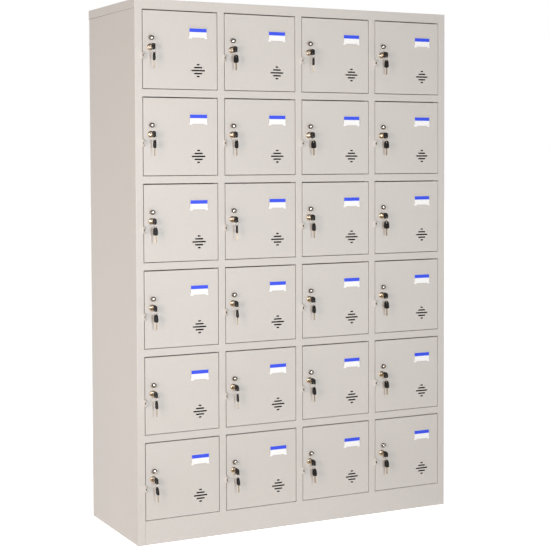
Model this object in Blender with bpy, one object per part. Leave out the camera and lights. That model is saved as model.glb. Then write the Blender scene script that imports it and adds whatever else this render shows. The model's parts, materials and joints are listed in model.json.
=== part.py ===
"""Cube locker: a folded sheet-steel cabinet with flush doors in rows and columns.

Each door swings on two concealed pins at its right edge. It carries a pull knob, a card holder,
a padlock ear and a cam lock, whose key holds a spare key on a ring. Lengths are in metres, +Z is
up and the doors face -Y. The origin is the middle of the whole locker's box, at the floor.
"""

import math

import bmesh
import bpy

# Cabinet
overall_width = 1.213
overall_height = 1.830
overall_depth = 0.470
column_count = 4
row_count = 6
sheet = 0.001
clearance = 0.0003
stile_face = 0.026
mullion_face = 0.023
top_rail_face = 0.032
shelf_rail_face = 0.0235
rail_return = 0.0175
plinth_height = 0.081
base_return = 0.020
cap_side_flange = 0.030
rear_return = 0.015
stop_depth = 0.019
stop_width = 0.009

# Doors
door_side_gap = 0.0022
door_top_gap = 0.0035
door_bottom_gap = 0.0020
door_return = 0.016
hinge_inset = 0.0045
hinge_depth = 0.0045
pin_radius = 0.0025
pin_play = 0.0004
pin_end = 0.001

# Ventilation slots, the widest in the middle
vent_from_right = 0.070
vent_from_bottom = 0.0643
vent_width = 0.050
vent_height = 0.004
vent_pitch = 0.010
vent_width_shares = (0.22, 0.60, 1.0, 0.60, 0.22)

# Card holder
holder_width = 0.0684
holder_height = 0.041
holder_reach = 0.0024
holder_from_right = 0.0363
holder_from_top = 0.0492

# Padlock ears
ear_thickness = 0.0012
ear_reach = 0.022
ear_half_height = 0.0125
ear_hole_radius = 0.0045
ear_hole_reach = 0.0145
ear_from_top = 0.1517
ear_arc_steps = 4

# Pull knob
fittings_from_left = 0.027
knob_from_top = 0.0928
knob_radius = 0.0083
knob_stem_radius = 0.0045
knob_reach = 0.0215
knob_head = 0.0125
knob_chamfer = 0.0025

# Cam lock
lock_from_top = 0.1228
bezel_radius = 0.0110
bezel_thickness = 0.0035
barrel_radius = 0.0095
plug_radius = 0.0065
plug_recess = 0.0005
cam_stop_gap = 0.0015
cam_thickness = 0.002
cam_width = 0.012
cam_reach = 0.025
cam_nut_radius = 0.0045
cam_nut_height = 0.002

# Keys
key_standoff = 0.0135
bow_length = 0.0272
bow_width = 0.0223
bow_thickness = 0.0045
bow_corner = 0.006
bow_hole_inset = 0.00785
blade_length = 0.025
blade_width = 0.007
blade_thickness = 0.002
blade_seat = 0.002
ring_radius = 0.01135
ring_wire = 0.0008
ring_slack = 0.0016
ring_steps = 8
ring_sides = 3

# Drawing
round_sides = 8
small_sides = 6
cut_overrun = 0.005
smooth_below = math.radians(50)

# Worked out from the sizes above
opening_width = (
    overall_width - 2 * stile_face - (column_count - 1) * mullion_face
) / column_count
opening_height = (
    overall_height - top_rail_face - plinth_height - (row_count - 1) * shelf_rail_face
) / row_count
door_width = opening_width - 2 * door_side_gap
door_height = opening_height - door_top_gap - door_bottom_gap
bow_end = bezel_thickness + key_standoff + bow_length
ring_reach = bow_end - bow_hole_inset
front_reach = max(bow_end, ring_reach + bow_width / 2)
front_y = (front_reach - overall_depth) / 2

body_half_width = overall_width / 2 - sheet - clearance
inner_half_width = body_half_width - sheet - clearance
body_back = overall_depth - sheet - clearance
back_sheet_rear = body_back - sheet - clearance
back_sheet_front = back_sheet_rear - sheet
shelf_back = back_sheet_front - clearance
body_top = overall_height - sheet - clearance
rail_underside = overall_height - top_rail_face
stop_front = stop_depth - sheet
lap_depth = overall_depth / 2
opening_left = stile_face - overall_width / 2
pin_hole_radius = (pin_radius + pin_play) / math.cos(math.pi / small_sides)

door_left = hinge_inset - door_width
door_front = -hinge_depth
weld = sheet / 2
cam_front = stop_depth + cam_stop_gap
barrel_end = cam_front - clearance
bore_radius = (plug_radius + clearance) / math.cos(math.pi / small_sides)


def column_x(column):
    """Left edge of a column's doorways."""
    return opening_left + column * (opening_width + mullion_face)


def hinge_x(column):
    return column_x(column) + opening_width - door_side_gap - hinge_inset


def opening_bottom(row):
    """Lower edge of a row's doorways, where row 0 is the top one."""
    lower_rows = row_count - 1 - row
    return plinth_height + lower_rows * (opening_height + shelf_rail_face)


def door_bottom(row):
    return opening_bottom(row) + door_bottom_gap


def paint(name, colour, roughness, metallic):
    material = bpy.data.materials.new(name)
    material.use_nodes = True
    shader = material.node_tree.nodes["Principled BSDF"]
    shader.inputs["Base Color"].default_value = (*colour, 1.0)
    shader.inputs["Roughness"].default_value = roughness
    shader.inputs["Metallic"].default_value = metallic
    return material


def mesh_of(bm, name, material):
    bmesh.ops.recalc_face_normals(bm, faces=bm.faces)
    mesh = bpy.data.meshes.new(name)
    bm.to_mesh(mesh)
    bm.free()
    mesh.materials.append(material)
    return mesh


def prism(outline, axis, low, high, material):
    """An outline extruded from low to high along an axis. Its points hold the other two axes."""
    place = {
        "X": lambda a, b, along: (along, a, b),
        "Y": lambda a, b, along: (a, along, b),
        "Z": lambda a, b, along: (a, b, along),
    }[axis]
    bm = bmesh.new()
    rings = [[bm.verts.new(place(a, b, along)) for a, b in outline] for along in (low, high)]
    bm.faces.new(rings[0])
    bm.faces.new(rings[1])
    for index, corner in enumerate(rings[0]):
        following = (index + 1) % len(outline)
        bm.faces.new((corner, rings[0][following], rings[1][following], rings[1][index]))
    return mesh_of(bm, "prism", material)


def block(low, high, material):
    outline = [(low[0], low[1]), (high[0], low[1]), (high[0], high[1]), (low[0], high[1])]
    return prism(outline, "Z", low[2], high[2], material)


def circle(radius, sides, centre=(0.0, 0.0)):
    """A round outline, turned half a side so that it has a flat at each quarter."""
    turns = [2 * math.pi * (index + 0.5) / sides for index in range(sides)]
    return [(centre[0] + radius * math.cos(t), centre[1] + radius * math.sin(t)) for t in turns]


def turned(profile, centre, sides, material):
    """A round solid about a line along Y. The profile holds radii and places along Y."""
    bm = bmesh.new()
    rings = []
    for radius, along in profile:
        points = circle(radius, sides, centre)
        rings.append([bm.verts.new((x, along, z)) for x, z in points])
    bm.faces.new(rings[0])
    bm.faces.new(rings[-1])
    for near, far in zip(rings, rings[1:]):
        for index in range(sides):
            following = (index + 1) % sides
            bm.faces.new((near[index], near[following], far[following], far[index]))
    return mesh_of(bm, "turned", material)


def wire_ring(centre, material):
    """The key ring, which stands square to Y."""
    bm = bmesh.new()
    rings = []
    for step in range(ring_steps):
        turn = 2 * math.pi * step / ring_steps
        section = circle(ring_wire, ring_sides)
        points = [
            (
                centre[0] + (ring_radius + out) * math.sin(turn),
                centre[1] + along,
                centre[2] + (ring_radius + out) * math.cos(turn),
            )
            for out, along in section
        ]
        rings.append([bm.verts.new(point) for point in points])
    for step, near in enumerate(rings):
        far = rings[(step + 1) % ring_steps]
        for index in range(ring_sides):
            following = (index + 1) % ring_sides
            bm.faces.new((near[index], near[following], far[following], far[index]))
    return mesh_of(bm, "ring", material)


def shaped(name, mesh, steps):
    """The mesh after exact Booleans. Each step holds an operation and the mesh that it uses."""
    body = bpy.data.objects.new(name, mesh)
    bpy.context.scene.collection.objects.link(body)
    helpers = [body]
    for operation, tool in steps:
        helper = bpy.data.objects.new("helper", tool)
        bpy.context.scene.collection.objects.link(helper)
        helper.hide_render = True
        helper.display_type = "WIRE"
        change = body.modifiers.new(operation.lower(), "BOOLEAN")
        change.operation = operation
        change.solver = "EXACT"
        change.material_mode = "TRANSFER"
        change.object = helper
        helpers.append(helper)
    graph = bpy.context.evaluated_depsgraph_get()
    result = bpy.data.meshes.new_from_object(body.evaluated_get(graph))
    for helper in helpers:
        bpy.data.objects.remove(helper, do_unlink=True)
    result.name = name
    result.shade_smooth()
    result.set_sharp_from_angle(angle=smooth_below)
    return result


def stand(name, mesh, location, parent=None):
    """One named object with its origin at the location."""
    piece = bpy.data.objects.new(name, mesh)
    piece.location = location
    piece.parent = parent
    bpy.context.scene.collection.objects.link(piece)
    return piece


def pin_hole(x, low, high, material):
    """Cutter for the hole that a hinge pin turns in."""
    return prism(circle(pin_hole_radius, small_sides, (x, hinge_depth)), "Z", low, high, material)


def ear(x, front, z, material):
    """One padlock ear, a half round plate standing out from the face at front."""
    outline = [(front + weld, z + ear_half_height), (front + weld, z - ear_half_height)]
    for step in range(ear_arc_steps + 1):
        turn = math.pi * step / ear_arc_steps
        outline.append(
            (front - ear_reach * math.sin(turn), z - ear_half_height * math.cos(turn))
        )
    return prism(outline, "X", x, x + ear_thickness, material)


def ear_hole(x, front, z, material):
    outline = circle(ear_hole_radius, small_sides, (front - ear_hole_reach, z))
    return prism(outline, "X", x - cut_overrun, x + ear_thickness + cut_overrun, material)


def frame_ears(x, material):
    """Steps that add and drill the fixed ears of one upright, whose doorway starts at x."""
    steps = []
    for row in range(row_count):
        z = door_bottom(row) + door_height - ear_from_top
        steps.append(("UNION", ear(x - ear_thickness, 0.0, z, material)))
        steps.append(("DIFFERENCE", ear_hole(x - ear_thickness, 0.0, z, material)))
    return steps


def top_corner(material):
    """Cutter that clears the uprights' fronts from the top rail."""
    low = (-overall_width, -cut_overrun, rail_underside - clearance)
    high = (overall_width, stop_depth + clearance, overall_height + cut_overrun)
    return block(low, high, material)


def side_panel(side, material):
    """A side sheet folded at the front into its stile and door stop. Side is -1 or 1."""
    outer = body_half_width
    edge = -opening_left
    outline = [
        (outer, 0.0),
        (edge, 0.0),
        (edge, stop_front),
        (edge - stop_width, stop_front),
        (edge - stop_width, stop_depth),
        (edge + sheet, stop_depth),
        (edge + sheet, sheet),
        (outer - sheet, sheet),
        (outer - sheet, body_back - sheet),
        (outer - rear_return, body_back - sheet),
        (outer - rear_return, body_back),
        (outer, body_back),
    ]
    outline = [(side * x, y) for x, y in outline]
    steps = [("DIFFERENCE", top_corner(material))]
    if side < 0:
        steps += frame_ears(opening_left, material)
    return shaped("side_panel", prism(outline, "Z", 0.0, body_top, material), steps)


def stile_notch(side, low, high, material):
    """Cutter that clears a shelf or floor corner from a side panel's stile and door stop."""
    edge = -opening_left - clearance
    beyond = overall_width / 2 + cut_overrun
    outline = [
        (beyond, -cut_overrun),
        (edge, -cut_overrun),
        (edge, stop_front - clearance),
        (edge - stop_width, stop_front - clearance),
        (edge - stop_width, stop_depth + clearance),
        (beyond, stop_depth + clearance),
    ]
    return prism([(side * x, y) for x, y in outline], "Z", low, high, material)


def partition(material):
    """An upright sheet folded at the front into a mullion with a door stop on each side."""
    half = mullion_face / 2
    outline = [
        (-half, 0.0),
        (half, 0.0),
        (half, stop_front),
        (half + stop_width, stop_front),
        (half + stop_width, stop_depth),
        (half - sheet, stop_depth),
        (half - sheet, sheet),
        (sheet - half, sheet),
        (sheet - half, shelf_back),
        (-half, shelf_back),
        (-half, stop_depth),
        (-half - stop_width, stop_depth),
        (-half - stop_width, stop_front),
        (-half, stop_front),
    ]
    steps = [("DIFFERENCE", top_corner(material))]
    for row in range(row_count - 1):
        shelf_top = opening_bottom(row)
        low = (-mullion_face, lap_depth, shelf_top - sheet - clearance)
        high = (mullion_face, overall_depth, shelf_top + clearance)
        steps.append(("DIFFERENCE", block(low, high, material)))
    steps += frame_ears(half, material)
    upright = prism(outline, "Z", plinth_height + clearance, body_top, material)
    return shaped("partition", upright, steps)


def mullion_slot(column, low, high, material):
    """Cutter that lets a partition into a shelf: its mullion, its stops and half its web."""
    right = column_x(column) + clearance
    left = right - mullion_face - 2 * clearance
    web_right = left + sheet + 2 * clearance
    outline = [
        (left, -cut_overrun),
        (right, -cut_overrun),
        (right, stop_front - clearance),
        (right + stop_width, stop_front - clearance),
        (right + stop_width, stop_depth + clearance),
        (web_right, stop_depth + clearance),
        (web_right, lap_depth + clearance),
        (left, lap_depth + clearance),
        (left, stop_depth + clearance),
        (left - stop_width, stop_depth + clearance),
        (left - stop_width, stop_front - clearance),
        (left, stop_front - clearance),
    ]
    return prism(outline, "Z", low, high, material)


def shelf(material):
    """A sheet over the whole width, folded down at the front into the rail between two rows."""
    under = sheet - shelf_rail_face
    outline = [
        (0.0, 0.0),
        (shelf_back, 0.0),
        (shelf_back, -sheet),
        (sheet, -sheet),
        (sheet, under),
        (rail_return, under),
        (rail_return, -shelf_rail_face),
        (0.0, -shelf_rail_face),
    ]
    low = -shelf_rail_face - cut_overrun
    high = cut_overrun
    steps = [("DIFFERENCE", stile_notch(side, low, high, material)) for side in (-1, 1)]
    for column in range(1, column_count):
        steps.append(("DIFFERENCE", mullion_slot(column, low, high, material)))
    for column in range(column_count):
        steps.append(("DIFFERENCE", pin_hole(hinge_x(column), low, high, material)))
    flat = prism(outline, "X", -inner_half_width, inner_half_width, material)
    return shaped("shelf", flat, steps)


def back_and_base(material):
    """The back sheet, the floor and the kick plate, folded from one sheet."""
    outline = [
        (0.0, 0.0),
        (0.0, plinth_height),
        (back_sheet_front, plinth_height),
        (back_sheet_front, body_top),
        (back_sheet_rear, body_top),
        (back_sheet_rear, 0.0),
        (back_sheet_front - base_return, 0.0),
        (back_sheet_front - base_return, sheet),
        (back_sheet_front, sheet),
        (back_sheet_front, plinth_height - sheet),
        (sheet, plinth_height - sheet),
        (sheet, sheet),
        (base_return, sheet),
        (base_return, 0.0),
    ]
    low = -cut_overrun
    high = plinth_height + cut_overrun
    steps = [("DIFFERENCE", stile_notch(side, low, high, material)) for side in (-1, 1)]
    for column in range(column_count):
        hole = pin_hole(hinge_x(column), plinth_height - cut_overrun, high, material)
        steps.append(("DIFFERENCE", hole))
    folded = prism(outline, "X", -inner_half_width, inner_half_width, material)
    return shaped("back_and_base", folded, steps)


def top_cap(material):
    """The top sheet with its flanges. The front flange is the top rail and has a return."""
    top = overall_height
    outline = [
        (0.0, top),
        (overall_depth, top),
        (overall_depth, top - cap_side_flange),
        (overall_depth - sheet, top - cap_side_flange),
        (overall_depth - sheet, top - sheet),
        (sheet, top - sheet),
        (sheet, rail_underside + sheet),
        (rail_return, rail_underside + sheet),
        (rail_return, rail_underside),
        (0.0, rail_underside),
    ]
    half = overall_width / 2
    steps = []
    for low_x, high_x in ((-half, sheet - half), (half - sheet, half)):
        low = (low_x, 0.0, top - cap_side_flange)
        high = (high_x, overall_depth, top)
        steps.append(("UNION", block(low, high, material)))
    for column in range(column_count):
        low = rail_underside - cut_overrun
        high = rail_underside + cut_overrun
        steps.append(("DIFFERENCE", pin_hole(hinge_x(column), low, high, material)))
    return shaped("top_cap", prism(outline, "X", -half, half, material), steps)


def vent_slots(material):
    middle = (len(vent_width_shares) - 1) / 2
    x = hinge_inset - vent_from_right
    steps = []
    for index, share in enumerate(vent_width_shares):
        z = vent_from_bottom + (index - middle) * vent_pitch
        half = vent_width * share / 2
        low = (x - half, door_front - cut_overrun, z - vent_height / 2)
        high = (x + half, door_front + cut_overrun, z + vent_height / 2)
        steps.append(("DIFFERENCE", block(low, high, material)))
    return steps


def card_holder(material):
    """A plate on the door's face."""
    right = hinge_inset - holder_from_right
    top = door_height - holder_from_top
    low = (right - holder_width, door_front - holder_reach, top - holder_height)
    return [("UNION", block(low, (right, door_front + weld, top), material))]


def knob(material):
    under = door_front - knob_reach + knob_head
    profile = [
        (knob_stem_radius, door_front + weld),
        (knob_radius, under),
        (knob_radius, door_front - knob_reach + knob_chamfer),
        (knob_radius - knob_chamfer, door_front - knob_reach),
    ]
    centre = (door_left + fittings_from_left, door_height - knob_from_top)
    return [("UNION", turned(profile, centre, round_sides, material))]


def lock_body(material):
    """The lock's bezel and barrel, fixed in the door and bored for the plug."""
    centre = (door_left + fittings_from_left, door_height - lock_from_top)
    profile = [
        (bezel_radius, door_front - bezel_thickness),
        (bezel_radius, door_front + weld),
        (barrel_radius, door_front + weld),
        (barrel_radius, door_front + barrel_end),
    ]
    bore = [
        (bore_radius, door_front - bezel_thickness - cut_overrun),
        (bore_radius, door_front + barrel_end + cut_overrun),
    ]
    return [
        ("UNION", turned(profile, centre, round_sides, material)),
        ("DIFFERENCE", turned(bore, centre, small_sides, material)),
    ]


def hinge_pins(material):
    upper = door_height + door_top_gap + sheet + pin_end
    lower = -door_bottom_gap - sheet - pin_end
    section = circle(pin_radius, small_sides)
    return [
        ("UNION", prism(section, "Z", door_height - weld, upper, material)),
        ("UNION", prism(section, "Z", lower, weld, material)),
    ]


def door(painted, plated):
    """A door pan with all that is fixed to it, about its hinge line and its lower edge."""
    rear = door_front + door_return
    pan = block((door_left, door_front, 0.0), (hinge_inset, rear, door_height), painted)
    low = (door_left + sheet, door_front + sheet, sheet)
    high = (hinge_inset - sheet, rear + cut_overrun, door_height - sheet)
    z = door_height - ear_from_top
    steps = [("DIFFERENCE", block(low, high, painted))]
    steps += vent_slots(painted)
    steps += card_holder(painted)
    steps += [
        ("UNION", ear(door_left, door_front, z, painted)),
        ("DIFFERENCE", ear_hole(door_left, door_front, z, painted)),
    ]
    steps += knob(plated) + lock_body(plated) + hinge_pins(plated)
    return shaped("door", pan, steps)


def bow_outline(start, end, middle):
    """A key's grip: a rectangle with cut corners. Start and end lie along the key."""
    half = bow_width / 2
    cut = math.copysign(bow_corner, end - start)
    return [
        (start, middle - half + bow_corner),
        (start + cut, middle - half),
        (end - cut, middle - half),
        (end, middle - half + bow_corner),
        (end, middle + half - bow_corner),
        (end - cut, middle + half),
        (start + cut, middle + half),
        (start, middle + half - bow_corner),
    ]


def lock_and_keys(plated, brass, plastic):
    """The turning plug with its cam, the inserted key, and the spare key on its ring.

    It lies about the lock's axis, with Y zero at the door's face and the cam pointing up.
    """
    face = -bezel_thickness
    axis = (0.0, 0.0)
    body = [(plug_radius, face + plug_recess), (plug_radius, cam_front + cam_thickness / 2)]
    cam_low = (-cam_width / 2, cam_front, -cam_width / 2)
    cam_high = (cam_width / 2, cam_front + cam_thickness, cam_reach)
    nut_end = cam_front + cam_thickness + cam_nut_height
    nut = [(cam_nut_radius, cam_front + cam_thickness / 2), (cam_nut_radius, nut_end)]

    half_blade = blade_thickness / 2
    half_bow = bow_thickness / 2
    near = face - key_standoff
    far = near - bow_length
    ring_y = -ring_reach
    ring_z = -ring_slack - ring_radius
    blade_low = (-half_blade, near - blade_seat, -blade_width / 2)
    blade_high = (half_blade, face + plug_recess + blade_seat, blade_width / 2)

    spare_top = ring_z - ring_radius - ring_slack + bow_hole_inset
    spare_bottom = spare_top - bow_length
    grip = [(y, z) for z, y in bow_outline(spare_top, spare_bottom, ring_y)]
    spare_low = (-half_blade, ring_y - blade_width / 2, spare_bottom - blade_length)
    spare_high = (half_blade, ring_y + blade_width / 2, spare_bottom + blade_seat)
    steps = [
        ("UNION", block(cam_low, cam_high, plated)),
        ("UNION", turned(nut, axis, small_sides, plated)),
        ("UNION", block(blade_low, blade_high, brass)),
        ("UNION", prism(bow_outline(near, far, 0.0), "X", -half_bow, half_bow, plastic)),
        ("UNION", wire_ring((0.0, ring_y, ring_z), plated)),
        ("UNION", prism(grip, "X", -half_bow, half_bow, plastic)),
        ("UNION", block(spare_low, spare_high, brass)),
    ]
    return shaped("lock_and_keys", turned(body, axis, small_sides, plated), steps)


def build():
    for piece in list(bpy.data.objects):
        bpy.data.objects.remove(piece, do_unlink=True)
    painted = paint("warm_grey_powder_coat", (0.70, 0.68, 0.65), 0.45, 0.0)
    plated = paint("bright_nickel_plating", (0.80, 0.76, 0.68), 0.22, 1.0)
    brass = paint("key_brass", (0.72, 0.60, 0.38), 0.35, 1.0)
    plastic = paint("black_key_plastic", (0.02, 0.02, 0.024), 0.4, 0.0)

    front = (0.0, front_y, 0.0)
    stand("left_side_panel", side_panel(-1, painted), front)
    stand("right_side_panel", side_panel(1, painted), front)
    stand("top_cap", top_cap(painted), front)
    stand("back_and_base_sheet", back_and_base(painted), front)
    upright = partition(painted)
    for column in range(1, column_count):
        x = column_x(column) - mullion_face / 2
        stand(f"partition_{column}", upright, (x, front_y, 0.0))
    flat = shelf(painted)
    for row in range(1, row_count):
        stand(f"shelf_{row}", flat, (0.0, front_y, opening_bottom(row - 1)))

    leaf = door(painted, plated)
    turning = lock_and_keys(plated, brass, plastic)
    lock_place = (door_left + fittings_from_left, door_front, door_height - lock_from_top)
    for row in range(row_count):
        for column in range(column_count):
            place = f"r{row + 1}_c{column + 1}"
            hinge = (hinge_x(column), front_y + hinge_depth, door_bottom(row))
            hung = stand(f"door_{place}", leaf, hinge)
            stand(f"lock_{place}", turning, lock_place, hung)


build()
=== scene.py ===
"""Looks of a steel cube locker: four columns and six rows of small hinged doors.

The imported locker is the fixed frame. Every piece here is built around it, in metres, with +Z up and
the doors facing -Y, and moves with the cabinet, with its door or with its lock.
"""

import json
import math

import bmesh
import bpy
from bpy.props import FloatProperty, FloatVectorProperty, IntProperty, PointerProperty
from mathutils import Matrix, Vector


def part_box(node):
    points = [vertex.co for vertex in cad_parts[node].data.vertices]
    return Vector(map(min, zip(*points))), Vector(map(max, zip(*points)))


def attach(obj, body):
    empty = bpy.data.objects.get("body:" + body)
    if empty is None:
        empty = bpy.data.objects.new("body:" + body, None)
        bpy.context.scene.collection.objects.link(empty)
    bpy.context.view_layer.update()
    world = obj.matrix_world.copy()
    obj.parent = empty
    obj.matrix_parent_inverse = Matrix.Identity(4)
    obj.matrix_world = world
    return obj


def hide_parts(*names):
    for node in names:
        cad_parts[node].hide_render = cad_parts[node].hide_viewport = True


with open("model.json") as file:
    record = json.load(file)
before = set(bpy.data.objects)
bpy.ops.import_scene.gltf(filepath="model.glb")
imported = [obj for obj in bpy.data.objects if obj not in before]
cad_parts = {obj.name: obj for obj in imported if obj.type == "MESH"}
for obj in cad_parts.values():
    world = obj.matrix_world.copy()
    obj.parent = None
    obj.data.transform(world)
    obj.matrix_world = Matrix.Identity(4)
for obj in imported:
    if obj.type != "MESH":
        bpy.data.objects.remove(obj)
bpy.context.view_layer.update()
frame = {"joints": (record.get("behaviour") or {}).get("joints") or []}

bl_info = {
    "name": "Cube Locker",
    "version": (1, 0, 0),
    "blender": (4, 5, 0),
    "location": "View3D > Sidebar > Locker",
    "description": "Builds the visible pieces of a steel cube locker around its fixed frame",
    "category": "Object",
}

# The frame's own places, which the pieces are built on
CAP_LOW, CAP_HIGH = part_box("top_cap")
SIDE_LOW, SIDE_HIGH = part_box("left_side_panel")
BACK_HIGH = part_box("back_and_base_sheet")[1]
FRONT, REAR = CAP_LOW.y, SIDE_HIGH.y
SIDE_FACE = -SIDE_LOW.x
WIDTH = CAP_HIGH.x - CAP_LOW.x
HEIGHT = CAP_HIGH.z
TURNING_POINTS = {joint["child"]: Vector(joint["pos_m"]) for joint in frame["joints"]}
COLUMNS = 4
ROWS = 6
CELLS = [(row, column) for row in range(1, ROWS + 1) for column in range(1, COLUMNS + 1)]

# How finely curves are drawn
FOLD_STEPS = 3
QUARTER_STEPS = 4
KEY_HOLE_STEPS = 5
CAM_STEPS = 6
DOME_STEPS = 9
WELD_STEPS = 12
EAR_STEPS = 18
HEXAGON = 6
SLOT_SIDES = 14
PIN_SIDES = 16
DRILL_SIDES = 24
KNOB_SIDES = 28
BEZEL_SIDES = 32
RING_STEPS = 28
WIRE_SIDES = 8
RIVET_SIDES = 12
RIVET_STEPS = 6
CREASE = math.radians(50)
MERGE_DISTANCE = 1e-6

# Small sizes of the fittings, beside those that a user would change
MM = 0.001
ARRIS = 0.2 * MM
EAR_EDGE = 0.25 * MM
# How far the middle of the painted shade round each padlock hole lies towards the door
HOLE_SHADE_RISE = 5.5 * MM
BORE_PLAY = 0.3 * MM
PLUG_SUNK = 0.6 * MM
SCREW_RISE = 2.0 * MM
SCREW_EDGE = 1.5 * MM
SHANK_IN_BOW = 2.0 * MM
SHANK_IN_LOCK = 1.5 * MM
RIVETS = 9
RING_TURNS = 2.0

# Shares of a size: fold and cutter in sheet thicknesses, round end, blunt edge and the coil's rise
HEM_FOLD_SHARE = 1.2
CUTTER_SHARE = 8.0
ROUND_END_SHARE = 0.98
PIN_EDGE_SHARE = 0.12
COIL_RISE_SHARE = 2.1

# Small sizes of the card holder and the card
PLATE = 0.8 * MM
PLATE_CORNER = 1.0 * MM
LIP_WALL = 0.6 * MM
LIP_THICK = 0.5 * MM
SIDE_LIP_FROM_BOTTOM = 7.0 * MM
SIDE_LIP_FROM_TOP = 6.2 * MM
LOWER_LIP = 4.2 * MM
LOWER_LIP_HALF = 23.0 * MM
HEM_INSET = 0.4 * MM
CARD_FRONT = -1.30 * MM
CARD_REAR = -0.85 * MM
CARD_SEAT = 0.8 * MM


def length(name, description, default):
    return FloatProperty(
        name=name, description=description, default=default, unit="LENGTH", precision=5
    )


def number(name, description, default, subtype="NONE"):
    return FloatProperty(name=name, description=description, default=default, subtype=subtype)


def colour(name, description, default):
    return FloatVectorProperty(
        name=name, description=description, default=default, size=3, subtype="COLOR", min=0, max=1
    )


class LOCKER_PG_cabinet(bpy.types.PropertyGroup):
    """Sizes of the folded sheets that make the cabinet."""

    sheet: length("Sheet", "Thickness of the sheet steel", 0.001)
    fold: length("Fold radius", "Outer radius of the cabinet's folds", 0.0012)
    stile: length("Stile", "Face width of the outer uprights", 0.026)
    mullion: length("Mullion", "Face width of the uprights between columns", 0.023)
    rail: length("Rail", "Face height of the rails between rows", 0.0235)
    top_rail: length("Top rail", "Face height of the rail above the top row", 0.032)
    plinth: length("Plinth", "Height of the kick plate", 0.081)
    depth: length("Return depth", "Depth of the returns around each doorway", 0.018)
    stop: length("Door stop", "Width of the stops beside each doorway", 0.009)
    cap: length("Cap flange", "Height of the cap's flanges", 0.030)
    seam: length("Seam", "Seam between the kick plate and the stiles", 0.0012)
    # Height of the dark strips of painted shade under the cap's sides
    seal: length("Seal", "Height of the beads of sealant under the cap's sides", 0.0010)
    shoulder: length("Rear return", "Width of the side sheets' rear returns", 0.015)
    foot: length("Foot", "Width of the folds that stand on the floor", 0.020)
    play: length("Play", "Clearance between neighbouring sheets", 0.0003)
    rivet: length("Rivet radius", "Radius of the rear rivets' heads", 0.0026)
    rivet_rise: length("Rivet rise", "How far a rivet's head stands out", 0.0010)
    rivet_pitch: length("Rivet pitch", "From one rear rivet to the next", 0.2125)
    lowest_rivet: length("Lowest rivet", "From the floor to the lowest rivet", 0.060)


class LOCKER_PG_doors(bpy.types.PropertyGroup):
    """Sizes of the doors and of their ventilation slots."""

    side_gap: length("Side gap", "Gap beside a door", 0.0022)
    top_gap: length("Top gap", "Gap above a door", 0.0035)
    bottom_gap: length("Bottom gap", "Gap below a door", 0.0020)
    depth: length("Depth", "Depth of the folded door", 0.016)
    fold: length("Fold radius", "Outer radius of the door's folds", 0.0010)
    trim: length("Trim", "How far each edge of the folded door stays inside its place", 0.0008)
    hem: length("Hem", "Width of the hem inside the door", 0.009)
    hinge: length("Hinge inset", "From the door's right edge and face to its hinge line", 0.0045)
    pin: length("Pin radius", "Radius of the hinge pins", 0.0018)
    pin_seat: length("Pin seat", "Length of a hinge pin inside the door", 0.010)
    pin_reach: length("Pin reach", "Reach of a hinge pin past the sheet it turns in", 0.001)
    slots: IntProperty(name="Slots", description="Number of ventilation slots", default=5, min=1)
    slot_pitch: length("Slot pitch", "From one slot to the next", 0.010)
    slot_width: length("Widest slot", "Width of the middle slot", 0.050)
    slot_height: length("Slot height", "Height of a slot", 0.0051)
    slot_narrowing: number("Narrowing", "Share of width lost from slot to slot", 0.39)
    slots_from_right: length("Slots from right", "From the door's right edge", 0.070)
    slots_from_bottom: length("Slots from bottom", "From the door's lower edge", 0.0643)


class LOCKER_PG_fittings(bpy.types.PropertyGroup):
    """Sizes of what is fixed to the doors and the frame."""

    from_left: length("Fittings from left", "Knob and lock, from the door's left edge", 0.027)
    knob_from_top: length("Knob from top", "From the door's upper edge", 0.0928)
    knob_radius: length("Knob radius", "Radius of the knob's head", 0.0083)
    knob_reach: length("Knob reach", "From the door's face to the knob's front", 0.0215)
    ear_from_top: length("Ear from top", "Padlock ears, from the door's upper edge", 0.1517)
    ear_reach: length("Ear reach", "How far the ears stand out", 0.022)
    ear_half: length("Ear half height", "Half of an ear's height", 0.0125)
    ear_hole: length("Ear hole", "Radius of the padlock hole", 0.0045)
    ear_hole_reach: length("Ear hole reach", "From the door's face to the hole", 0.0145)
    ear_thick: length("Ear thickness", "Thickness of an ear", 0.0012)
    ear_weld: length("Ear weld", "Width of the weld beside a fixed ear", 0.0014)
    holder_width: length("Holder width", "Width of the card holder", 0.0684)
    holder_height: length("Holder height", "Height of the card holder", 0.041)
    holder_reach: length("Holder reach", "How far the card holder stands out", 0.0024)
    holder_from_right: length("Holder from right", "From the door's right edge", 0.0363)
    holder_lip: length("Holder lip", "Width of the lips that hold the card", 0.0030)
    holder_from_top: length("Holder from top", "From the door's upper edge", 0.0492)
    card_width: length("Card width", "Width of the card", 0.0655)
    card_height: length("Card height", "Height of the card", 0.034)
    card_strip: length("Card strip", "Height of the card's coloured strip", 0.0122)


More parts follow.
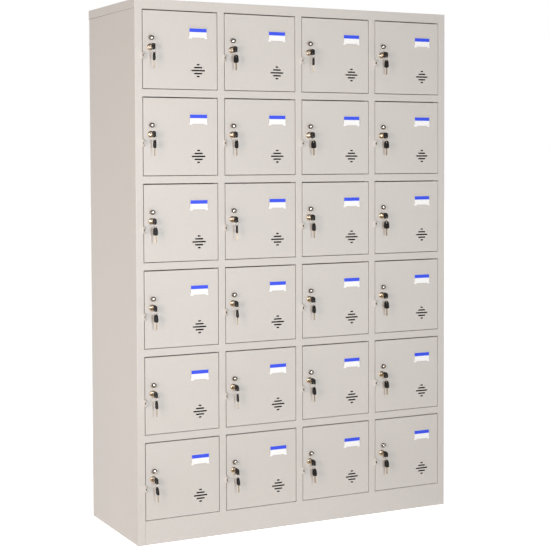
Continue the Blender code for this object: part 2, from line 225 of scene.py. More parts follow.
class LOCKER_PG_locks(bpy.types.PropertyGroup):
    """Sizes of the cam locks and their keys."""

    bezel: length("Bezel radius", "Radius of the lock's bezel", 0.0110)
    bezel_thick: length("Bezel thickness", "How far the bezel stands out", 0.0035)
    barrel: length("Barrel radius", "Radius of the lock's barrel", 0.0095)
    barrel_end: length("Barrel end", "From the door's face to the barrel's rear end", 0.0202)
    plug: length("Plug radius", "Radius of the turning plug", 0.0065)
    cam_front: length("Cam front", "From the door's face to the cam", 0.0205)
    cam_thick: length("Cam thickness", "Thickness of the cam", 0.002)
    cam_width: length("Cam width", "Width of the cam", 0.012)
    cam_reach: length("Cam reach", "From the lock's axis to the cam's tip", 0.025)
    key_gap: length("Key gap", "From the bezel to the inserted key's bow", 0.0135)
    bow_length: length("Bow length", "Length of a key's bow", 0.0272)
    bow_width: length("Bow width", "Width of a key's bow", 0.0223)
    bow_thick: length("Bow thickness", "Thickness of a key's bow", 0.0045)
    hole_near: length("Hole's near end", "From the end of a bow to its long hole", 0.0032)
    hole_far: length("Hole's far end", "From the end of a bow to the hole's other end", 0.0086)
    hole_half: length("Hole half width", "Half of the hole's width", 0.0026)
    blade_length: length("Blade length", "Length of a key's blade", 0.025)
    blade_width: length("Blade width", "Width of a key's blade", 0.007)
    blade_thick: length("Blade thickness", "Thickness of a key's blade", 0.002)
    ring: length("Ring radius", "Radius of the key ring", 0.0105)
    ring_wire: length("Ring wire", "Radius of the key ring's wire", 0.0005)
    ring_reach: length("Ring reach", "From the door's face to the key ring", 0.0362)


class LOCKER_PG_finishes(bpy.types.PropertyGroup):
    """Colours of the finishes."""

    paint: colour("Paint", "Powder coat of the cabinet and the doors", (0.690, 0.655, 0.620))
    # Colour of the dark strips of painted shade in the seams
    seal: colour("Sealant", "Beads of sealant", (0.20, 0.185, 0.17))
    nickel: colour("Nickel", "Plating of the knobs and rings", (0.86, 0.83, 0.79))
    gilt: colour("Warm nickel", "Plating of the locks", (0.60, 0.47, 0.315))
    steel: colour("Dark steel", "Hinge pins", (0.22, 0.21, 0.20))
    zinc: colour("Zinc", "Finish of the padlock ears", (0.80, 0.78, 0.745))
    brass: colour("Brass", "Key blades", (0.56, 0.45, 0.30))
    plastic: colour("Plastic", "Key bows", (0.007, 0.007, 0.008))
    card: colour("Card", "The card itself", (0.985, 0.985, 0.985))
    strip: colour("Strip", "The card's upper strip", (0.040, 0.095, 0.95))


class LOCKER_PG_stage(bpy.types.PropertyGroup):
    """Camera, lamps and floor."""

    camera_x: length("Camera X", "Camera place", -2.25375)
    camera_y: length("Camera Y", "Camera place", -4.69070)
    camera_z: length("Camera Z", "Camera place", 1.31311)
    camera_yaw: number("Camera turn", "Turn to the right", 0.49493, "ANGLE")
    camera_pitch: number("Camera pitch", "Tilt upwards", -0.04243, "ANGLE")
    camera_roll: number("Camera roll", "Turn about the line of sight", -0.00152, "ANGLE")
    lens: number("Lens", "Focal length in millimetres", 93.145)
    shift_x: number("Shift X", "Share of the frame", -0.11779)
    shift_y: number("Shift Y", "Share of the frame", -0.10909)
    front_power: number("Front lamp", "Power in watts", 70.0)
    key_power: number("Left lamp", "Power in watts", 48.0)
    side_power: number("Side lamp", "Power in watts", 21.0)
    fill: number("Fill", "Strength of the light all round", 0.32)
    fill_colour: colour("Fill colour", "Colour of the light all round", (1.0, 0.94, 0.82))
    floor_glow: number("Floor glow", "Lifts the floor to white", 0.84)


GROUPS = {
    "locker_cabinet": LOCKER_PG_cabinet,
    "locker_doors": LOCKER_PG_doors,
    "locker_fittings": LOCKER_PG_fittings,
    "locker_locks": LOCKER_PG_locks,
    "locker_finishes": LOCKER_PG_finishes,
    "locker_stage": LOCKER_PG_stage,
}


def sizes(group):
    return getattr(bpy.context.scene, "locker_" + group)


# Places worked out from the sizes


def opening_width():
    s = sizes("cabinet")
    return (WIDTH - 2 * s.stile - (COLUMNS - 1) * s.mullion) / COLUMNS


def opening_height():
    s = sizes("cabinet")
    return (HEIGHT - s.top_rail - s.plinth - (ROWS - 1) * s.rail) / ROWS


def opening_left(column):
    s = sizes("cabinet")
    return CAP_LOW.x + s.stile + (column - 1) * (opening_width() + s.mullion)


def opening_bottom(row):
    s = sizes("cabinet")
    return s.plinth + (ROWS - row) * (opening_height() + s.rail)


def door_width():
    return opening_width() - 2 * sizes("doors").side_gap


def door_height():
    d = sizes("doors")
    return opening_height() - d.top_gap - d.bottom_gap


def door_left():
    """Left edge of a door, from its hinge line."""
    return sizes("doors").hinge - door_width()


def cells():
    """Each cell's name, the place of its door (its hinge line, front face and lower edge) and the
    place where its lock's axis meets the face."""
    for row, column in CELLS:
        name = f"r{row}_c{column}"
        hinge, lock = TURNING_POINTS[f"door_{name}"], TURNING_POINTS[f"lock_{name}"]
        door_place = Vector((hinge.x, FRONT, hinge.z - door_height() / 2))
        yield name, door_place, Vector((lock.x, FRONT, lock.z))


# Node trees


class Wire:
    """A socket with a value, or the start of a tree. Operators on it add the nodes for a sum."""

    def __init__(self, tree, socket=None):
        self.tree = tree
        self.socket = socket

    def node(self, kind, sockets=None, output=0, **settings):
        """Any node: its settings are set first, then the values or links of its sockets."""
        made = self.tree.nodes.new(kind)
        for name, value in settings.items():
            setattr(made, name, value)
        for key, value in (sockets or {}).items():
            self.give(value, made.inputs[key])
        return Wire(self.tree, made.outputs[output] if made.outputs else None)

    def give(self, value, entry):
        """Links a wire to a socket, or sets the socket's own value."""
        if isinstance(value, Wire):
            self.tree.links.new(value.socket, entry)
        else:
            entry.default_value = value

    def maths(self, operation, *values):
        return self.node("ShaderNodeMath", dict(enumerate(values)), operation=operation)

    def vectors(self, operation, *values, output="Vector"):
        entries = dict(enumerate(values))
        return self.node("ShaderNodeVectorMath", entries, output, operation=operation)

    def vector(self, **parts):
        return self.node("ShaderNodeCombineXYZ", parts)

    def mix(self, factor, low, high):
        """A colour between two. A colour is a wire or three numbers."""
        low, high = (c if isinstance(c, Wire) else (*c, 1.0) for c in (low, high))
        entries = {"Factor": factor, 6: low, 7: high}
        return self.node("ShaderNodeMix", entries, 2, data_type="RGBA")

    def __add__(self, other):
        return self.maths("ADD", self, other)

    def __sub__(self, other):
        return self.maths("SUBTRACT", self, other)

    def __rsub__(self, other):
        return self.maths("SUBTRACT", other, self)

    def __mul__(self, other):
        return self.maths("MULTIPLY", self, other)

    def __truediv__(self, other):
        return self.maths("DIVIDE", self, other)

    __radd__ = __add__
    __rmul__ = __mul__


def cleared_tree(block):
    """The start of an empty node tree in a new material or world."""
    block.use_nodes = True
    block.node_tree.nodes.clear()
    return Wire(block.node_tree)


# Finishes

FINISH = {}
# The attribute that places painted shade on a mesh
MARKS = "around"

# Painted shade: the colour, and the distances from the marked middle where it starts and is full
# Painted shade in the padlock holes and on the door ear's hidden face, standing in for the shade
# between the two ears
HOLE_PAINTED_SHADE = ((0.022, 0.019, 0.017), 1.95, 1.55)
# Painted dark reflection and shade on the rim and neck of each knob
KNOB_RIM_PAINTED_SHADE = ((0.050, 0.034, 0.025), 0.58, 0.82)


def new_finish(name, **values):
    """A material with a principled shader: the material, the start of its tree and the shader."""
    material = bpy.data.materials.new(name)
    material.use_nodes = True
    tree = Wire(material.node_tree)
    shader = material.node_tree.nodes["Principled BSDF"].inputs
    for key, value in values.items():
        shader[key.replace("_", " ").title()].default_value = value
    return material, tree, shader


def object_noise(tree, scale, detail=2.0, roughness=0.5):
    place = tree.node("ShaderNodeTexCoord", output="Object")
    entries = {"Vector": place, "Scale": scale, "Detail": detail, "Roughness": roughness}
    return tree.node("ShaderNodeTexNoise", entries)


def scaled(colour_value, share):
    return tuple(min(1.0, part * share) for part in colour_value)


def shades(tree, colour_value, low, high, factor):
    """A colour between its own darker and lighter share."""
    return tree.mix(factor, scaled(colour_value, low), scaled(colour_value, high))


def bump(tree, height, distance, strength):
    entries = {"Height": height, "Distance": distance, "Strength": strength}
    return tree.node("ShaderNodeBump", entries)


def ring_mask(tree, start, end):
    """Where painted shade falls: from 0 to 1 between two distances from a piece's marked middle, on
    marked faces only.
    """
    marks = tree.node("ShaderNodeAttribute", output="Vector", attribute_name=MARKS)
    flat = tree.vectors("MULTIPLY", marks, (0.0, 1.0, 1.0))
    share = (tree.vectors("LENGTH", flat, output="Value") - start) * (1.0 / (end - start))
    marked = tree.vectors("DOT_PRODUCT", marks, (1.0, 0.0, 0.0), output="Value")
    return tree.node("ShaderNodeClamp", {"Value": share}) * marked


def stained(tree, colours, stain):
    """Turns a colour towards the colour of a painted shade, where the marks place it."""
    return tree.mix(ring_mask(tree, *stain[1:]), colours, stain[0]) if stain else colours


def powder_coat(name, colour_value, stain=None):
    """Satin powder coat: a fine orange-peel surface with faint shifts of tone, and painted shade
    where one is given.
    """
    material, tree, shader = new_finish(name)
    drift = object_noise(tree, 2.2, 3.0)
    grain = object_noise(tree, 420.0)
    mottle = object_noise(tree, 165.0, 1.0)
    colours = shades(tree, colour_value, 0.925, 1.075, drift * 0.30 + grain * 0.18 + mottle * 0.52)
    tree.give(stained(tree, colours, stain), shader["Base Color"])
    tree.give(grain * 0.10 + 0.39, shader["Roughness"])
    tree.give(bump(tree, object_noise(tree, 750.0, 1.0), 0.05 * MM, 0.5), shader["Normal"])
    return material


def plated(name, colour_value, roughness, grain_scale, stain=None):
    """Plated metal with faint polishing marks and a slightly uneven gloss. Where a painted shade is
    given, it turns dark and dull, as a painted dark reflection.
    """
    material, tree, shader = new_finish(name, metallic=1.0)
    polish = object_noise(tree, grain_scale, 3.0, 0.6)
    colours = shades(tree, colour_value, 0.92, 1.06, object_noise(tree, 90.0))
    # Where the painted dark reflection falls, the metal turns into a dull dark colour
    if stain:
        tree.give(1.0 - ring_mask(tree, *stain[1:]), shader["Metallic"])
    tree.give(stained(tree, colours, stain), shader["Base Color"])
    tree.give(polish * 0.10 + (roughness - 0.05), shader["Roughness"])
    return material


def moulded_plastic(name, colour_value):
    """Moulded plastic with a fine eroded texture."""
    material, tree, shader = new_finish(name)
    grain = object_noise(tree, 1600.0)
    tree.give(shades(tree, colour_value, 0.8, 1.3, grain), shader["Base Color"])
    tree.give(grain * 0.14 + 0.44, shader["Roughness"])
    shader["Specular IOR Level"].default_value = 0.3
    tree.give(bump(tree, grain, 0.04 * MM, 0.6), shader["Normal"])
    return material


def paper(name, colour_value, painted_glow=0.0):
    """Printed card with the faint cloud of its fibres, and a faint painted glow where one is given.
    """
    material, tree, shader = new_finish(name, roughness=0.5, emission_strength=painted_glow)
    fibres = object_noise(tree, 1300.0, 4.0, 0.7)
    tree.give(shades(tree, colour_value, 0.98, 1.01, fibres), shader["Base Color"])
    return material


def make_finishes():
    f = sizes("finishes")
    FINISH.update(
        paint=powder_coat("powder_coat_paint", f.paint),
        # The ears' finish, with painted shade in and round their holes
        ear=powder_coat("stained_zinc_finish", f.zinc, HOLE_PAINTED_SHADE),
        # Dark strips of painted shade in the seams
        seal=powder_coat("dark_sealant", f.seal),
        # The knobs' finish, with a painted dark reflection on the rim
        knob=plated("tarnished_nickel", f.nickel, 0.17, 700.0, KNOB_RIM_PAINTED_SHADE),
        nickel=plated("bright_nickel", f.nickel, 0.17, 700.0),
        ring=plated("dull_ring_nickel", scaled(f.nickel, 0.70), 0.36, 900.0),
        gilt=plated("warm_nickel", f.gilt, 0.34, 800.0),
        steel=plated("dark_pin_steel", f.steel, 0.42, 900.0),
        brass=plated("key_brass", f.brass, 0.40, 1100.0),
        plastic=moulded_plastic("black_key_plastic", f.plastic),
        # The white card glows faintly, painted light that lifts it towards white
        card=paper("white_card", f.card, 0.05),
        strip=paper("blue_strip", f.strip),
    )


# Outlines


def fold_arc(radius):
    """Insets and depths round a quarter fold, from the flat face to the side."""
    turns = [math.pi / 2 * step / FOLD_STEPS for step in range(FOLD_STEPS + 1)]
    return [(radius * (1 - math.sin(turn)), radius * (1 - math.cos(turn))) for turn in turns]


def rectangle(low, high):
    return [(low[0], low[1]), (high[0], low[1]), (high[0], high[1]), (low[0], high[1])]


def rounded_rectangle(low, high, radius, steps=QUARTER_STEPS):
    inner = rectangle([part + radius for part in low], [part - radius for part in high])
    points = []
    for quarter, (x, z) in enumerate(inner[1:] + inner[:1]):
        for step in range(steps + 1):
            turn = math.pi / 2 * (quarter - 1 + step / steps)
            points.append((x + radius * math.cos(turn), z + radius * math.sin(turn)))
    return points


def circle(radius, sides, centre=(0.0, 0.0)):
    turns = [2 * math.pi * side / sides for side in range(sides)]
    return [(centre[0] + radius * math.cos(t), centre[1] + radius * math.sin(t)) for t in turns]


def mirrored(side):
    """A closed outline from the points of one side, whose other side is below zero."""
    return side + [(along, -wide) for along, wide in reversed(side)]


def inset(outline, distance):
    """The outline moved inwards. It runs anticlockwise."""
    moved = []
    for index, point in enumerate(outline):
        here = Vector(point)
        first = (here - Vector(outline[index - 1])).normalized()
        second = (Vector(outline[(index + 1) % len(outline)]) - here).normalized()
        middle = first.orthogonal() + second.orthogonal()
        middle = middle / max(middle.length_squared / 2, 0.5)
        moved.append((here.x + middle.x * distance, here.y + middle.y * distance))
    return moved


def across_x(a, b, along):
    return (along, a, b)


def across_y(a, b, along):
    return (a, along, b)


def across_z(a, b, along):
    return (a, b, along)


# Mesh making


def new_object(name, data):
    item = bpy.data.objects.new(name, data)
    bpy.context.scene.collection.objects.link(item)
    return item


def drop(piece):
    bpy.data.objects.remove(piece, do_unlink=True)


class Shape:
    """A mesh in the making. Its faces take the number of the finish that is set."""

    def __init__(self):
        self.bm = bmesh.new()
        self.finish = 0

    def face(self, corners):
        face = self.bm.faces.new(corners)
        face.material_index = self.finish
        face.smooth = True

    def ring(self, points):
        return [self.bm.verts.new(point) for point in points]

    def quad(self, points):
        self.face(self.ring(points))

    def loft(self, rings, start=True, end=True):
        made = [self.ring(points) for points in rings]
        for near, far in zip(made, made[1:]):
            for index in range(len(near)):
                following = (index + 1) % len(near)
                self.face((near[index], near[following], far[following], far[index]))
        for ring, closed in ((made[0], start), (made[-1], end)):
            if closed:
                self.face(ring)

    def prism(self, outline, ends, place):
        self.loft([[place(a, b, along) for a, b in outline] for along in ends])

    def box(self, low, high):
        self.prism(rectangle(low, high), (low[2], high[2]), across_z)

    def strip(self, profile, heights, place):
        """Quads along a profile, between each height and the next."""
        for first, second in zip(profile, profile[1:]):
            for low, high in zip(heights, heights[1:]):
                corners = ((*first, low), (*second, low), (*second, high), (*first, high))
                self.quad([place(*corner) for corner in corners])

    def plate(self, outline, levels, place):
        """An outline lofted through levels, each an inset and a place along the thickness."""
        self.loft([[place(a, b, along) for a, b in inset(outline, edge)] for edge, along in levels])

    def slab(self, outline, low, high, edge, place):
        """A plate with blunted edges."""
        levels = [(edge, low), (0.0, low + edge), (0.0, high - edge), (edge, high)]
        self.plate(outline, levels, place)

    def tray(self, profile, low, high, radius, place):
        """A pressed sheet with rounded corners, from its closed face on. The profile holds insets
        and places along the depth."""
        rings = []
        for edge, along in profile:
            ends = [part + edge for part in low], [part - edge for part in high]
            outline = rounded_rectangle(*ends, max(radius - edge, radius / 5))
            rings.append([place(a, b, along) for a, b in outline])
        self.loft(rings, True, False)

    def turned(self, profile, centre, sides, hollow=False):
        """A solid turned about a line along Y. The profile holds radii and places along Y."""
        rings = [[across_y(x, z, y) for x, z in circle(r, sides, centre)] for r, y in profile]
        if hollow:
            rings.append(rings[0])
        self.loft(rings, not hollow, not hollow)

    def piece(self, name, finishes=("paint",), outwards=None):
        """The mesh as an object. Outwards says where an open shape's largest face looks."""
        bmesh.ops.remove_doubles(self.bm, verts=self.bm.verts, dist=MERGE_DISTANCE)
        bmesh.ops.recalc_face_normals(self.bm, faces=self.bm.faces)
        if outwards:
            largest = max(self.bm.faces, key=lambda face: face.calc_area())
            if largest.normal.dot(Vector(outwards)) < 0:
                bmesh.ops.reverse_faces(self.bm, faces=self.bm.faces)
        mesh = bpy.data.meshes.new(name)
        self.bm.to_mesh(mesh)
        self.bm.free()
        for finish in finishes:
            mesh.materials.append(FINISH[finish])
        return new_object(name, mesh)

    def pattern(self, name, *finishes):
        return take_mesh(smooth(self.piece(name, finishes)))


def settle(piece):
    """Turns the piece's modifiers into its plain mesh."""
    graph = bpy.context.evaluated_depsgraph_get()
    result = bpy.data.meshes.new_from_object(
        piece.evaluated_get(graph), preserve_all_data_layers=True, depsgraph=graph
    )
    piece.modifiers.clear()
    piece.data = result
    return piece


def changed(piece, kind, **settings):
    """Keeps the mesh that a modifier with these settings makes of the piece."""
    change = piece.modifiers.new(kind.lower(), kind)
    for name, value in settings.items():
        setattr(change, name, value)
    return settle(piece)


def thicken(piece):
    """Gives an open surface the sheet's thickness, on its inner side."""
    wall = {"thickness": sizes("cabinet").sheet, "offset": -1.0}
    return changed(piece, "SOLIDIFY", use_even_offset=True, use_quality_normals=True, **wall)


def cut(piece, cutter):
    """Cuts the cutter's shape out of the piece and removes the cutter."""
    changed(piece, "BOOLEAN", operation="DIFFERENCE", solver="EXACT", object=cutter)
    drop(cutter)


def smooth(piece):
    """Shades folds round and flat faces flat."""
    piece.data.shade_smooth()
    piece.data.set_sharp_from_angle(angle=CREASE)
    return changed(piece, "WEIGHTED_NORMAL", mode="FACE_AREA", keep_sharp=True)


def take_mesh(piece):
    """The piece's mesh, as a pattern for copies. The piece itself goes."""
    mesh = piece.data
    drop(piece)
    return mesh


def mark_round(mesh, centre, radius, axes, wanted=lambda face: 1.0):
    """Stores where the wanted faces lie about a centre, for the painted shade in a finish. A share of
    zero puts a face in the very middle."""
    marks = mesh.attributes.new(MARKS, "FLOAT_VECTOR", "CORNER")
    for face in mesh.polygons:
        share = wanted(face)
        if share is None:
            continue
        for corner in face.loop_indices:
            apart = mesh.vertices[mesh.loops[corner].vertex_index].co - centre
            across, along = (apart[axis] * share / radius for axis in axes)
            marks.data[corner].vector = (1.0, across, along)
    return mesh


def fit(piece, body, slot, *nodes):
    """Lets a finished piece ride on its body and stand for its nodes."""
    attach(piece, body)
    if nodes:
        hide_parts(*nodes)


def copy_to(mesh, name, place, body, slot, *nodes):
    """A copy of a pattern, with its place in its mesh."""
    own = mesh.copy()
    own.name = name
    own.transform(place if isinstance(place, Matrix) else Matrix.Translation(place))
    fit(new_object(name, own), body, slot, *nodes)


# Geometry node trees


def run_tree(piece, label, build, values):
    """Runs a new geometry tree on a piece and keeps the plain mesh. Each value becomes an input of
    its own type. The build function gets the tree and a wire for each input."""
    group = bpy.data.node_groups.new(label, "GeometryNodeTree")
    group.interface.new_socket("Geometry", in_out="INPUT", socket_type="NodeSocketGeometry")
    for key, value in values.items():
        kind = "NodeSocket" + type(value).__name__.capitalize()
        group.interface.new_socket(key, in_out="INPUT", socket_type=kind)
    group.interface.new_socket("Geometry", in_out="OUTPUT", socket_type="NodeSocketGeometry")
    entry = group.nodes.new("NodeGroupInput")
    given = {socket.name: Wire(group, socket) for socket in entry.outputs if socket.name}
    tree = Wire(group)
    plain = tree.node("GeometryNodeRealizeInstances", {"Geometry": build(tree, given)})
    painted = {"Geometry": plain, "Material": given["Material"]}
    tree.node("NodeGroupOutput", {0: tree.node("GeometryNodeSetMaterial", painted)})
    change = piece.modifiers.new(label, "NODES")
    change.node_group = group
    for item in group.interface.items_tree:
        if item.in_out == "INPUT" and item.name in values:
            change[item.identifier] = values[item.name]
    return settle(piece)


def upright_line(tree, given, start):
    entries = {"Count": given["Count"], "Start Location": start}
    entries["Offset"] = tree.vector(Z=given["Pitch"])
    return tree.node("GeometryNodeMeshLine", entries, mode="OFFSET")


def instances(tree, **entries):
    return tree.node("GeometryNodeInstanceOnPoints", entries)


def moved(tree, geometry, **entries):
    return tree.node("GeometryNodeTransform", {"Geometry": geometry, **entries})


UPRIGHT = (math.pi / 2, 0.0, 0.0)


def slots(tree, given):
    """Cuts a column of round-ended slots, the widest in the middle."""
    half = (given["Count"] - 1) * 0.5
    start = tree.vectors("SUBTRACT", given["Middle"], tree.vector(Z=half * given["Pitch"]))
    step = tree.maths("ABSOLUTE", tree.node("GeometryNodeInputIndex") - half)
    width = given["Widest"] * (1 - given["Narrowing"] * step)
    stored = {"Geometry": upright_line(tree, given, start), "Name": "slot_width", "Value": width}
    line = tree.node("GeometryNodeStoreNamedAttribute", stored, data_type="FLOAT", domain="POINT")
    round_end = {"Vertices": SLOT_SIDES, "Radius": given["Height"] * 0.5, "Depth": given["Depth"]}
    cutter = tree.node("GeometryNodeMeshCylinder", round_end)
    cutters = instances(tree, Points=line, Instance=cutter, Rotation=UPRIGHT)
    cutters = tree.node("GeometryNodeRealizeInstances", {"Geometry": cutters})
    x = tree.node("ShaderNodeSeparateXYZ", {0: tree.node("GeometryNodeInputPosition")})
    side = tree.maths("SIGN", x - tree.node("ShaderNodeSeparateXYZ", {0: given["Middle"]}))
    own = {"Name": "slot_width"}
    own_width = tree.node("GeometryNodeInputNamedAttribute", own, data_type="FLOAT")
    stretch = tree.vector(X=side * (own_width - given["Height"]) * 0.5)
    cutters = tree.node("GeometryNodeSetPosition", {"Geometry": cutters, "Offset": stretch})
    meshes = {"Mesh 1": given["Geometry"], "Mesh 2": cutters}
    return tree.node("GeometryNodeMeshBoolean", meshes, operation="DIFFERENCE", solver="EXACT")


def one_at_each_doorway(tree, given):
    """Repeats a piece at every doorway."""
    wide = (given["Columns"] - 1) * given["Column pitch"]
    tall = (given["Rows"] - 1) * given["Row pitch"]
    size = {"Size X": wide, "Size Y": tall}
    counts = {"Vertices X": given["Columns"], "Vertices Y": given["Rows"]}
    grid = tree.node("GeometryNodeMeshGrid", {**size, **counts})
    middle = tree.vectors("ADD", given["First"], tree.vector(X=wide * 0.5, Z=tall * 0.5))
    grid = moved(tree, grid, Translation=middle, Rotation=UPRIGHT)
    source = {"Object": given["Piece"], "As Instance": True}
    pattern = tree.node("GeometryNodeObjectInfo", source, "Geometry", transform_space="ORIGINAL")
    return instances(tree, Points=grid, Instance=pattern)


def rivets(tree, given):
    """Rows of flat rivet heads on the two rear returns."""
    line = upright_line(tree, given, given["Left foot"])
    other = moved(tree, line, Translation=tree.vector(X=given["Spread"]))
    both = tree.node("GeometryNodeJoinGeometry", {"Geometry": line})
    tree.give(other, both.socket.node.inputs["Geometry"])
    ball = {"Segments": RIVET_SIDES, "Rings": RIVET_STEPS, "Radius": given["Radius"]}
    head = tree.node("GeometryNodeMeshUVSphere", ball)
    flat = tree.vector(X=1.0, Y=given["Rise"] / given["Radius"], Z=1.0)
    return instances(tree, Points=both, Instance=head, Scale=flat)


def wire_turns(tree, given):
    """Close turns of round wire."""
    coil = {"Resolution": RING_STEPS, "Rotations": given["Turns"]}
    coil.update({"Start Radius": given["Radius"], "End Radius": given["Radius"]})
    coil["Height"] = given["Wire"] * COIL_RISE_SHARE * given["Turns"]
    section = {"Resolution": WIRE_SIDES, "Radius": given["Wire"]}
    curves = {
        "Curve": tree.node("GeometryNodeCurveSpiral", coil),
        "Profile Curve": tree.node("GeometryNodeCurvePrimitiveCircle", section, mode="RADIUS"),
    }
    wire = tree.node("GeometryNodeCurveToMesh", {**curves, "Fill Caps": True})
    return moved(tree, wire, Rotation=UPRIGHT)


def made_by_tree(name, build, **values):
    """A new piece that comes from a geometry tree alone."""
    values = {key.replace("_", " "): value for key, value in values.items()}
    piece = new_object(name, bpy.data.meshes.new(name))
    return smooth(run_tree(piece, name, build, values))


def at_each_doorway(name, pattern, first, finish):
    """A piece made of one copy of a pattern at every doorway. The pattern goes."""
    s = sizes("cabinet")
    piece = made_by_tree(
        name,
        one_at_each_doorway,
        Piece=pattern,
        Columns=COLUMNS,
        Rows=ROWS,
        Column_pitch=opening_width() + s.mullion,
        Row_pitch=opening_height() + s.rail,
        First=first,
        Material=FINISH[finish],
    )
    drop(pattern)
    return piece


# Cabinet


def front_lines():
    """Lines across the front where its flat faces end: beside, above and below each doorway."""
    s = sizes("cabinet")
    across = [SIDE_LOW.x + s.fold]
    for column in range(1, COLUMNS + 1):
        left = opening_left(column)
        across += [left - s.fold, left + opening_width() + s.fold]
    across.append(SIDE_FACE - s.fold)
    up = [0.0, s.plinth - 2 * s.fold]
    for row in range(ROWS, 0, -1):
        bottom = opening_bottom(row)
        up += [bottom - s.fold, bottom + opening_height() + s.fold]
    up.append(HEIGHT - s.cap)
    return across, up


def front_faces(shape, across, up):
    """The flat faces of stiles, mullions and rails."""
    last = len(across) - 2
    for i, (left, right) in enumerate(zip(across, across[1:])):
        for k, (low, high) in enumerate(zip(up, up[1:])):
            doorway = i % 2 == 1 and k >= 2 and k % 2 == 0
            kick_plate_place = k == 0 and 0 < i < last
            if not doorway and not kick_plate_place:
                shape.quad([(x, FRONT, z) for x, z in rectangle((left, low), (right, high))])


def welded_front():
    """Stiles, mullions and rails as one welded face, folded round every doorway and back."""
    s = sizes("cabinet")
    shape = Shape()
    across, up = front_lines()
    front_faces(shape, across, up)
    arc = fold_arc(s.fold)
    returns = arc + [(0.0, s.depth)]
    for row, column in CELLS:
        left, bottom = opening_left(column), opening_bottom(row)
        right, top = left + opening_width(), bottom + opening_height()
        rings = []
        for edge, deep in returns:
            corners = rectangle((left - edge, bottom - edge), (right + edge, top + edge))
            rings.append([(x, FRONT + deep, z) for x, z in corners])
        shape.loft(rings, False, False)
    for side in (-1, 1):
        inner = opening_left(1)
        profile = [(side * (-inner + edge), FRONT + deep) for edge, deep in returns]
        shape.strip(profile, up[:2], across_z)
        profile = [(side * (SIDE_FACE - edge), FRONT + deep) for edge, deep in arc]
        rear = [(side * (SIDE_FACE - edge), REAR - deep) for deep, edge in reversed(arc)]
        rear.append((side * (SIDE_FACE - s.shoulder), REAR))
        shape.strip(profile + rear, up, across_z)
        shape.strip(profile[-1:] + rear, [up[-1], SIDE_HIGH.z], across_z)
    return smooth(thicken(shape.piece("welded_front_and_sides", outwards=(0, -1, 0))))


def cap_lid():
    s = sizes("cabinet")
    shape = Shape()
    profile = [(edge, HEIGHT - down) for edge, down in fold_arc(s.fold) + [(0.0, s.cap)]]
    shape.tray(profile, CAP_LOW.xy, CAP_HIGH.xy, s.fold, across_z)
    return smooth(thicken(shape.piece("folded_cap", outwards=(0, 0, 1))))


def seals():
    """Dark strips of painted shade in the seams: one under each side of the cap, one at each end of
    the kick plate.
    """
    s = sizes("cabinet")
    shape = Shape()
    cap_foot = HEIGHT - s.cap
    sunk, deep = FRONT + s.sheet / 2, FRONT + 3 * s.sheet
    under_cap = (-CAP_LOW.x - s.play, SIDE_FACE - s.play)
    beside_kick_plate = (-opening_left(1), -opening_left(1) - s.seam)
    shade_strips = (
        # Each strip of painted shade: the sides it lies between, and its lower and upper corner
        (under_cap, (FRONT + s.fold, cap_foot - s.seal), (REAR - s.fold, cap_foot)),
        (beside_kick_plate, (sunk, s.fold), (deep, s.plinth - 4 * s.fold)),
    )
    for side in (-1, 1):
        for ends, low, high in shade_strips:
            near, far = sorted(side * end for end in ends)
            shape.box((near, *low), (far, *high))
    return smooth(shape.piece("seals", ["seal"]))


def bay_edges(column):
    """Where the sheet of one column starts and ends."""
    s = sizes("cabinet")
    left = SIDE_LOW.x + s.sheet + s.play
    if column > 1:
        left = opening_left(column) - s.mullion + s.sheet
    right = SIDE_FACE - s.sheet - s.play
    if column < COLUMNS:
        right = opening_left(column + 1) - s.mullion
    return left, right


def level_sheet(name, top):
    """A shelf or the floor: a flat sheet behind the rails, let in between the uprights."""
    s = sizes("cabinet")
    shape = Shape()
    front = FRONT + s.depth
    inner = front + s.sheet + s.play
    rear = BACK_HIGH.y - s.sheet - s.play
    for column in range(1, COLUMNS + 1):
        left, right = bay_edges(column)
        opening = opening_left(column)
        shape.box((opening, front, top - s.sheet), (opening + opening_width(), inner, top))
        shape.box((left, inner, top - s.sheet), (right, rear, top))
    return smooth(shape.piece(name))


def upright_web(name, left):
    """The sheet between two columns, behind its mullion."""
    s = sizes("cabinet")
    shape = Shape()
    high = (left + s.sheet, BACK_HIGH.y - s.sheet - s.play, HEIGHT - s.sheet - s.play)
    shape.box((left, FRONT + s.depth, s.plinth - s.sheet), high)
    return smooth(shape.piece(name))


def footed_sheet(name, face, top, half, inwards):
    """A flat sheet across the locker, folded inwards at the floor."""
    s = sizes("cabinet")
    shape = Shape()
    arc = reversed(fold_arc(s.fold))
    profile = [(face, top)] + [(face + inwards * deep, edge) for deep, edge in arc]
    profile.append((face + inwards * s.foot, 0.0))
    shape.strip(profile, [-half, half], across_x)
    return smooth(thicken(shape.piece(name, outwards=(0, -inwards, 0))))


def kick_plate():
    s = sizes("cabinet")
    half = -opening_left(1) - s.seam
    return footed_sheet("kick_plate", FRONT, s.plinth - 2 * s.fold, half, 1)


def back_sheet():
    s = sizes("cabinet")
    half = SIDE_FACE - s.sheet - s.play
    return footed_sheet("rear_sheet", BACK_HIGH.y, BACK_HIGH.z, half, -1)


def door_stops():
    """The flanges that the closed doors meet, one at each side of every doorway."""
    s = sizes("cabinet")
    shape = Shape()
    height = opening_height() - s.play
    rear = s.depth + s.sheet
    wide = opening_width()
    shape.box((-s.sheet, s.depth, s.play), (s.stop, rear, height))
    shape.box((wide - s.stop, s.depth, s.play), (wide + s.sheet, rear, height))
    bevel = {"width": ARRIS, "segments": 1, "limit_method": "ANGLE", "angle_limit": CREASE}
    pattern = changed(shape.piece("stop_pattern"), "BEVEL", **bevel)
    first = Vector((opening_left(1), FRONT, opening_bottom(ROWS)))
    return at_each_doorway("door_stops", pattern, first, "paint")


